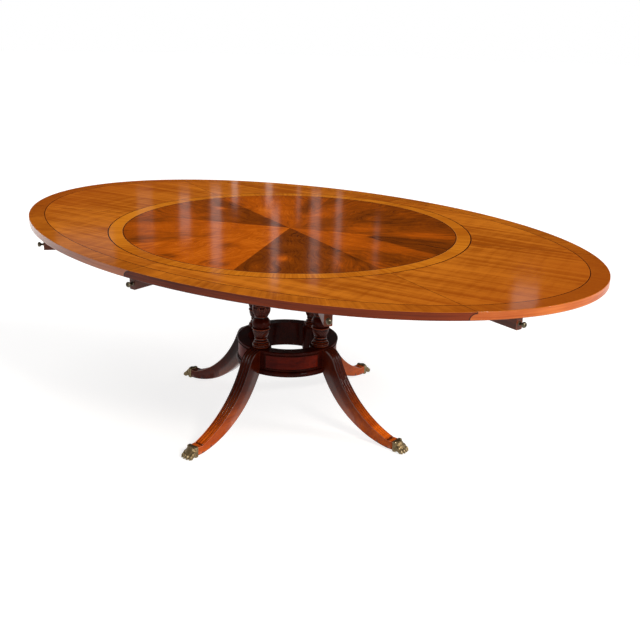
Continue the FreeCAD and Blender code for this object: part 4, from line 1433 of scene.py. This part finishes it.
class OVALTABLE_OT_stage(bpy.types.Operator):
    """Set up the floor, the backdrop, the light and the camera"""

    bl_idname = "ovaltable.stage"
    bl_label = "Stage"

    def execute(self, context):
        bpy.ops.mesh.primitive_circle_add(vertices=96, radius=30, fill_type="NGON")
        floor = named("floor")
        floor.data.materials.append(floor_finish())
        bpy.ops.mesh.primitive_circle_add(vertices=96, radius=29.9, fill_type="NOTHING")
        wall = named("backdrop")
        edit_all(wall)
        extrude((0, 0, 2.9))
        bpy.ops.object.mode_set(mode="OBJECT")
        wall.data.materials.append(backdrop_finish())
        values = stage()
        self.set_room(values)
        self.set_lamps(values)
        self.set_camera(values)
        return {"FINISHED"}

    def set_room(self, values):
        """Even light from all round, dim where the camera looks and white where it sees the room."""
        world = bpy.data.worlds.new("studio")
        bpy.context.scene.world = world
        world.use_nodes = True
        tree = world.node_tree
        ahead = add(tree, "TexCoord").vector("DOT_PRODUCT", heading(values))
        room = values.room_strength
        strength = ahead.spread(0.2, 0.8, room, room * DIM_WALL).maths("MAXIMUM", ray(tree, "Camera"))
        connect(tree.nodes["Background"], {"Color": WHITE, "Strength": strength})

    def set_lamps(self, values):
        add_sun("overhead", -170, 66, 60, values.overhead_strength)
        add_sun("key", -13, 36, 14, values.key_strength, (1, 0.94, 0.86))
        add_sun("rear", 33, 30, 14, values.key_strength / 2, (1, 0.96, 0.94))
        add_area("fill", (-5.4, -0.2, 1.1), (0, 0, 0.5), 2.0, 1.5, values.fill_power, (1, 0.97, 0.98))
        add_area("low_window", (4.9, -1.3, 1.0), (0, 0, 0.3), 1.0, 1.2, values.low_power, (1, 0.95, 0.93))
        eye = Vector((values.camera_place[0], values.camera_place[1], 0))
        for index, (degrees, width, low, high, share) in enumerate(WINDOW_STRIPS, start=1):
            way = Matrix.Rotation(math.radians(-degrees), 3, "Z") @ heading(values)
            place = eye + way * WINDOW_DISTANCE + Vector((0, 0, (low + high) / 2))
            power = values.window_glow * share * width * (high - low) * math.pi
            add_area(f"window_{index}", place, (0, 0, TOP), width, high - low, power)

    def set_camera(self, values):
        drop, roll = values.camera_drop, values.camera_roll
        forward = heading(values) * math.cos(drop) - Vector((0, 0, math.sin(drop)))
        level = heading(values).cross((0, 0, 1))
        down = forward.cross(level)
        right = level * math.cos(roll) + down * math.sin(roll)
        lower = down * math.cos(roll) - level * math.sin(roll)
        camera = bpy.data.cameras.new("camera")
        camera.sensor_width = 36
        camera.lens = values.focal_length
        camera.shift_x = 0.04414
        camera.shift_y = -0.0245
        camera.clip_end = 200
        holder = linked("camera", camera)
        axes = Matrix((right, -lower, -forward)).transposed()
        holder.matrix_world = Matrix.Translation(values.camera_place) @ axes.to_4x4()
        bpy.context.scene.camera = holder
        bpy.context.scene.view_settings.view_transform = "Standard"


# ---- panel and registration


class OVALTABLE_PT_sidebar(bpy.types.Panel):
    """Builds the table piece by piece"""

    bl_label = "Oval Table"
    bl_idname = "OVALTABLE_PT_sidebar"
    bl_space_type = "VIEW_3D"
    bl_region_type = "UI"
    bl_category = "Oval Table"

    def draw(self, context):
        for operator in STEPS:
            self.layout.operator(operator.bl_idname)
        for group in (colours(), sizes(), stage()):
            box = self.layout.box()
            for name in group.__annotations__:
                box.prop(group, name)


STEPS = (
    OVALTABLE_OT_top,
    OVALTABLE_OT_lopers,
    OVALTABLE_OT_frame,
    OVALTABLE_OT_platform,
    OVALTABLE_OT_columns,
    OVALTABLE_OT_legs,
    OVALTABLE_OT_paws,
    OVALTABLE_OT_stage,
)
CLASSES = (OVALTABLE_PG_colours, OVALTABLE_PG_sizes, OVALTABLE_PG_stage, *STEPS, OVALTABLE_PT_sidebar)


def register():
    for item in CLASSES:
        bpy.utils.register_class(item)
    bpy.types.Scene.oval_table_colours = PointerProperty(type=OVALTABLE_PG_colours)
    bpy.types.Scene.oval_table_sizes = PointerProperty(type=OVALTABLE_PG_sizes)
    bpy.types.Scene.oval_table_stage = PointerProperty(type=OVALTABLE_PG_stage)


def unregister():
    del bpy.types.Scene.oval_table_stage
    del bpy.types.Scene.oval_table_sizes
    del bpy.types.Scene.oval_table_colours
    for item in reversed(CLASSES):
        bpy.utils.unregister_class(item)


def main():
    register()
    bpy.ops.ovaltable.top()
    bpy.ops.ovaltable.lopers()
    bpy.ops.ovaltable.frame()
    bpy.ops.ovaltable.platform()
    bpy.ops.ovaltable.columns()
    bpy.ops.ovaltable.legs()
    bpy.ops.ovaltable.paws()
    bpy.ops.ovaltable.stage()


if __name__ == "__main__":
    main()
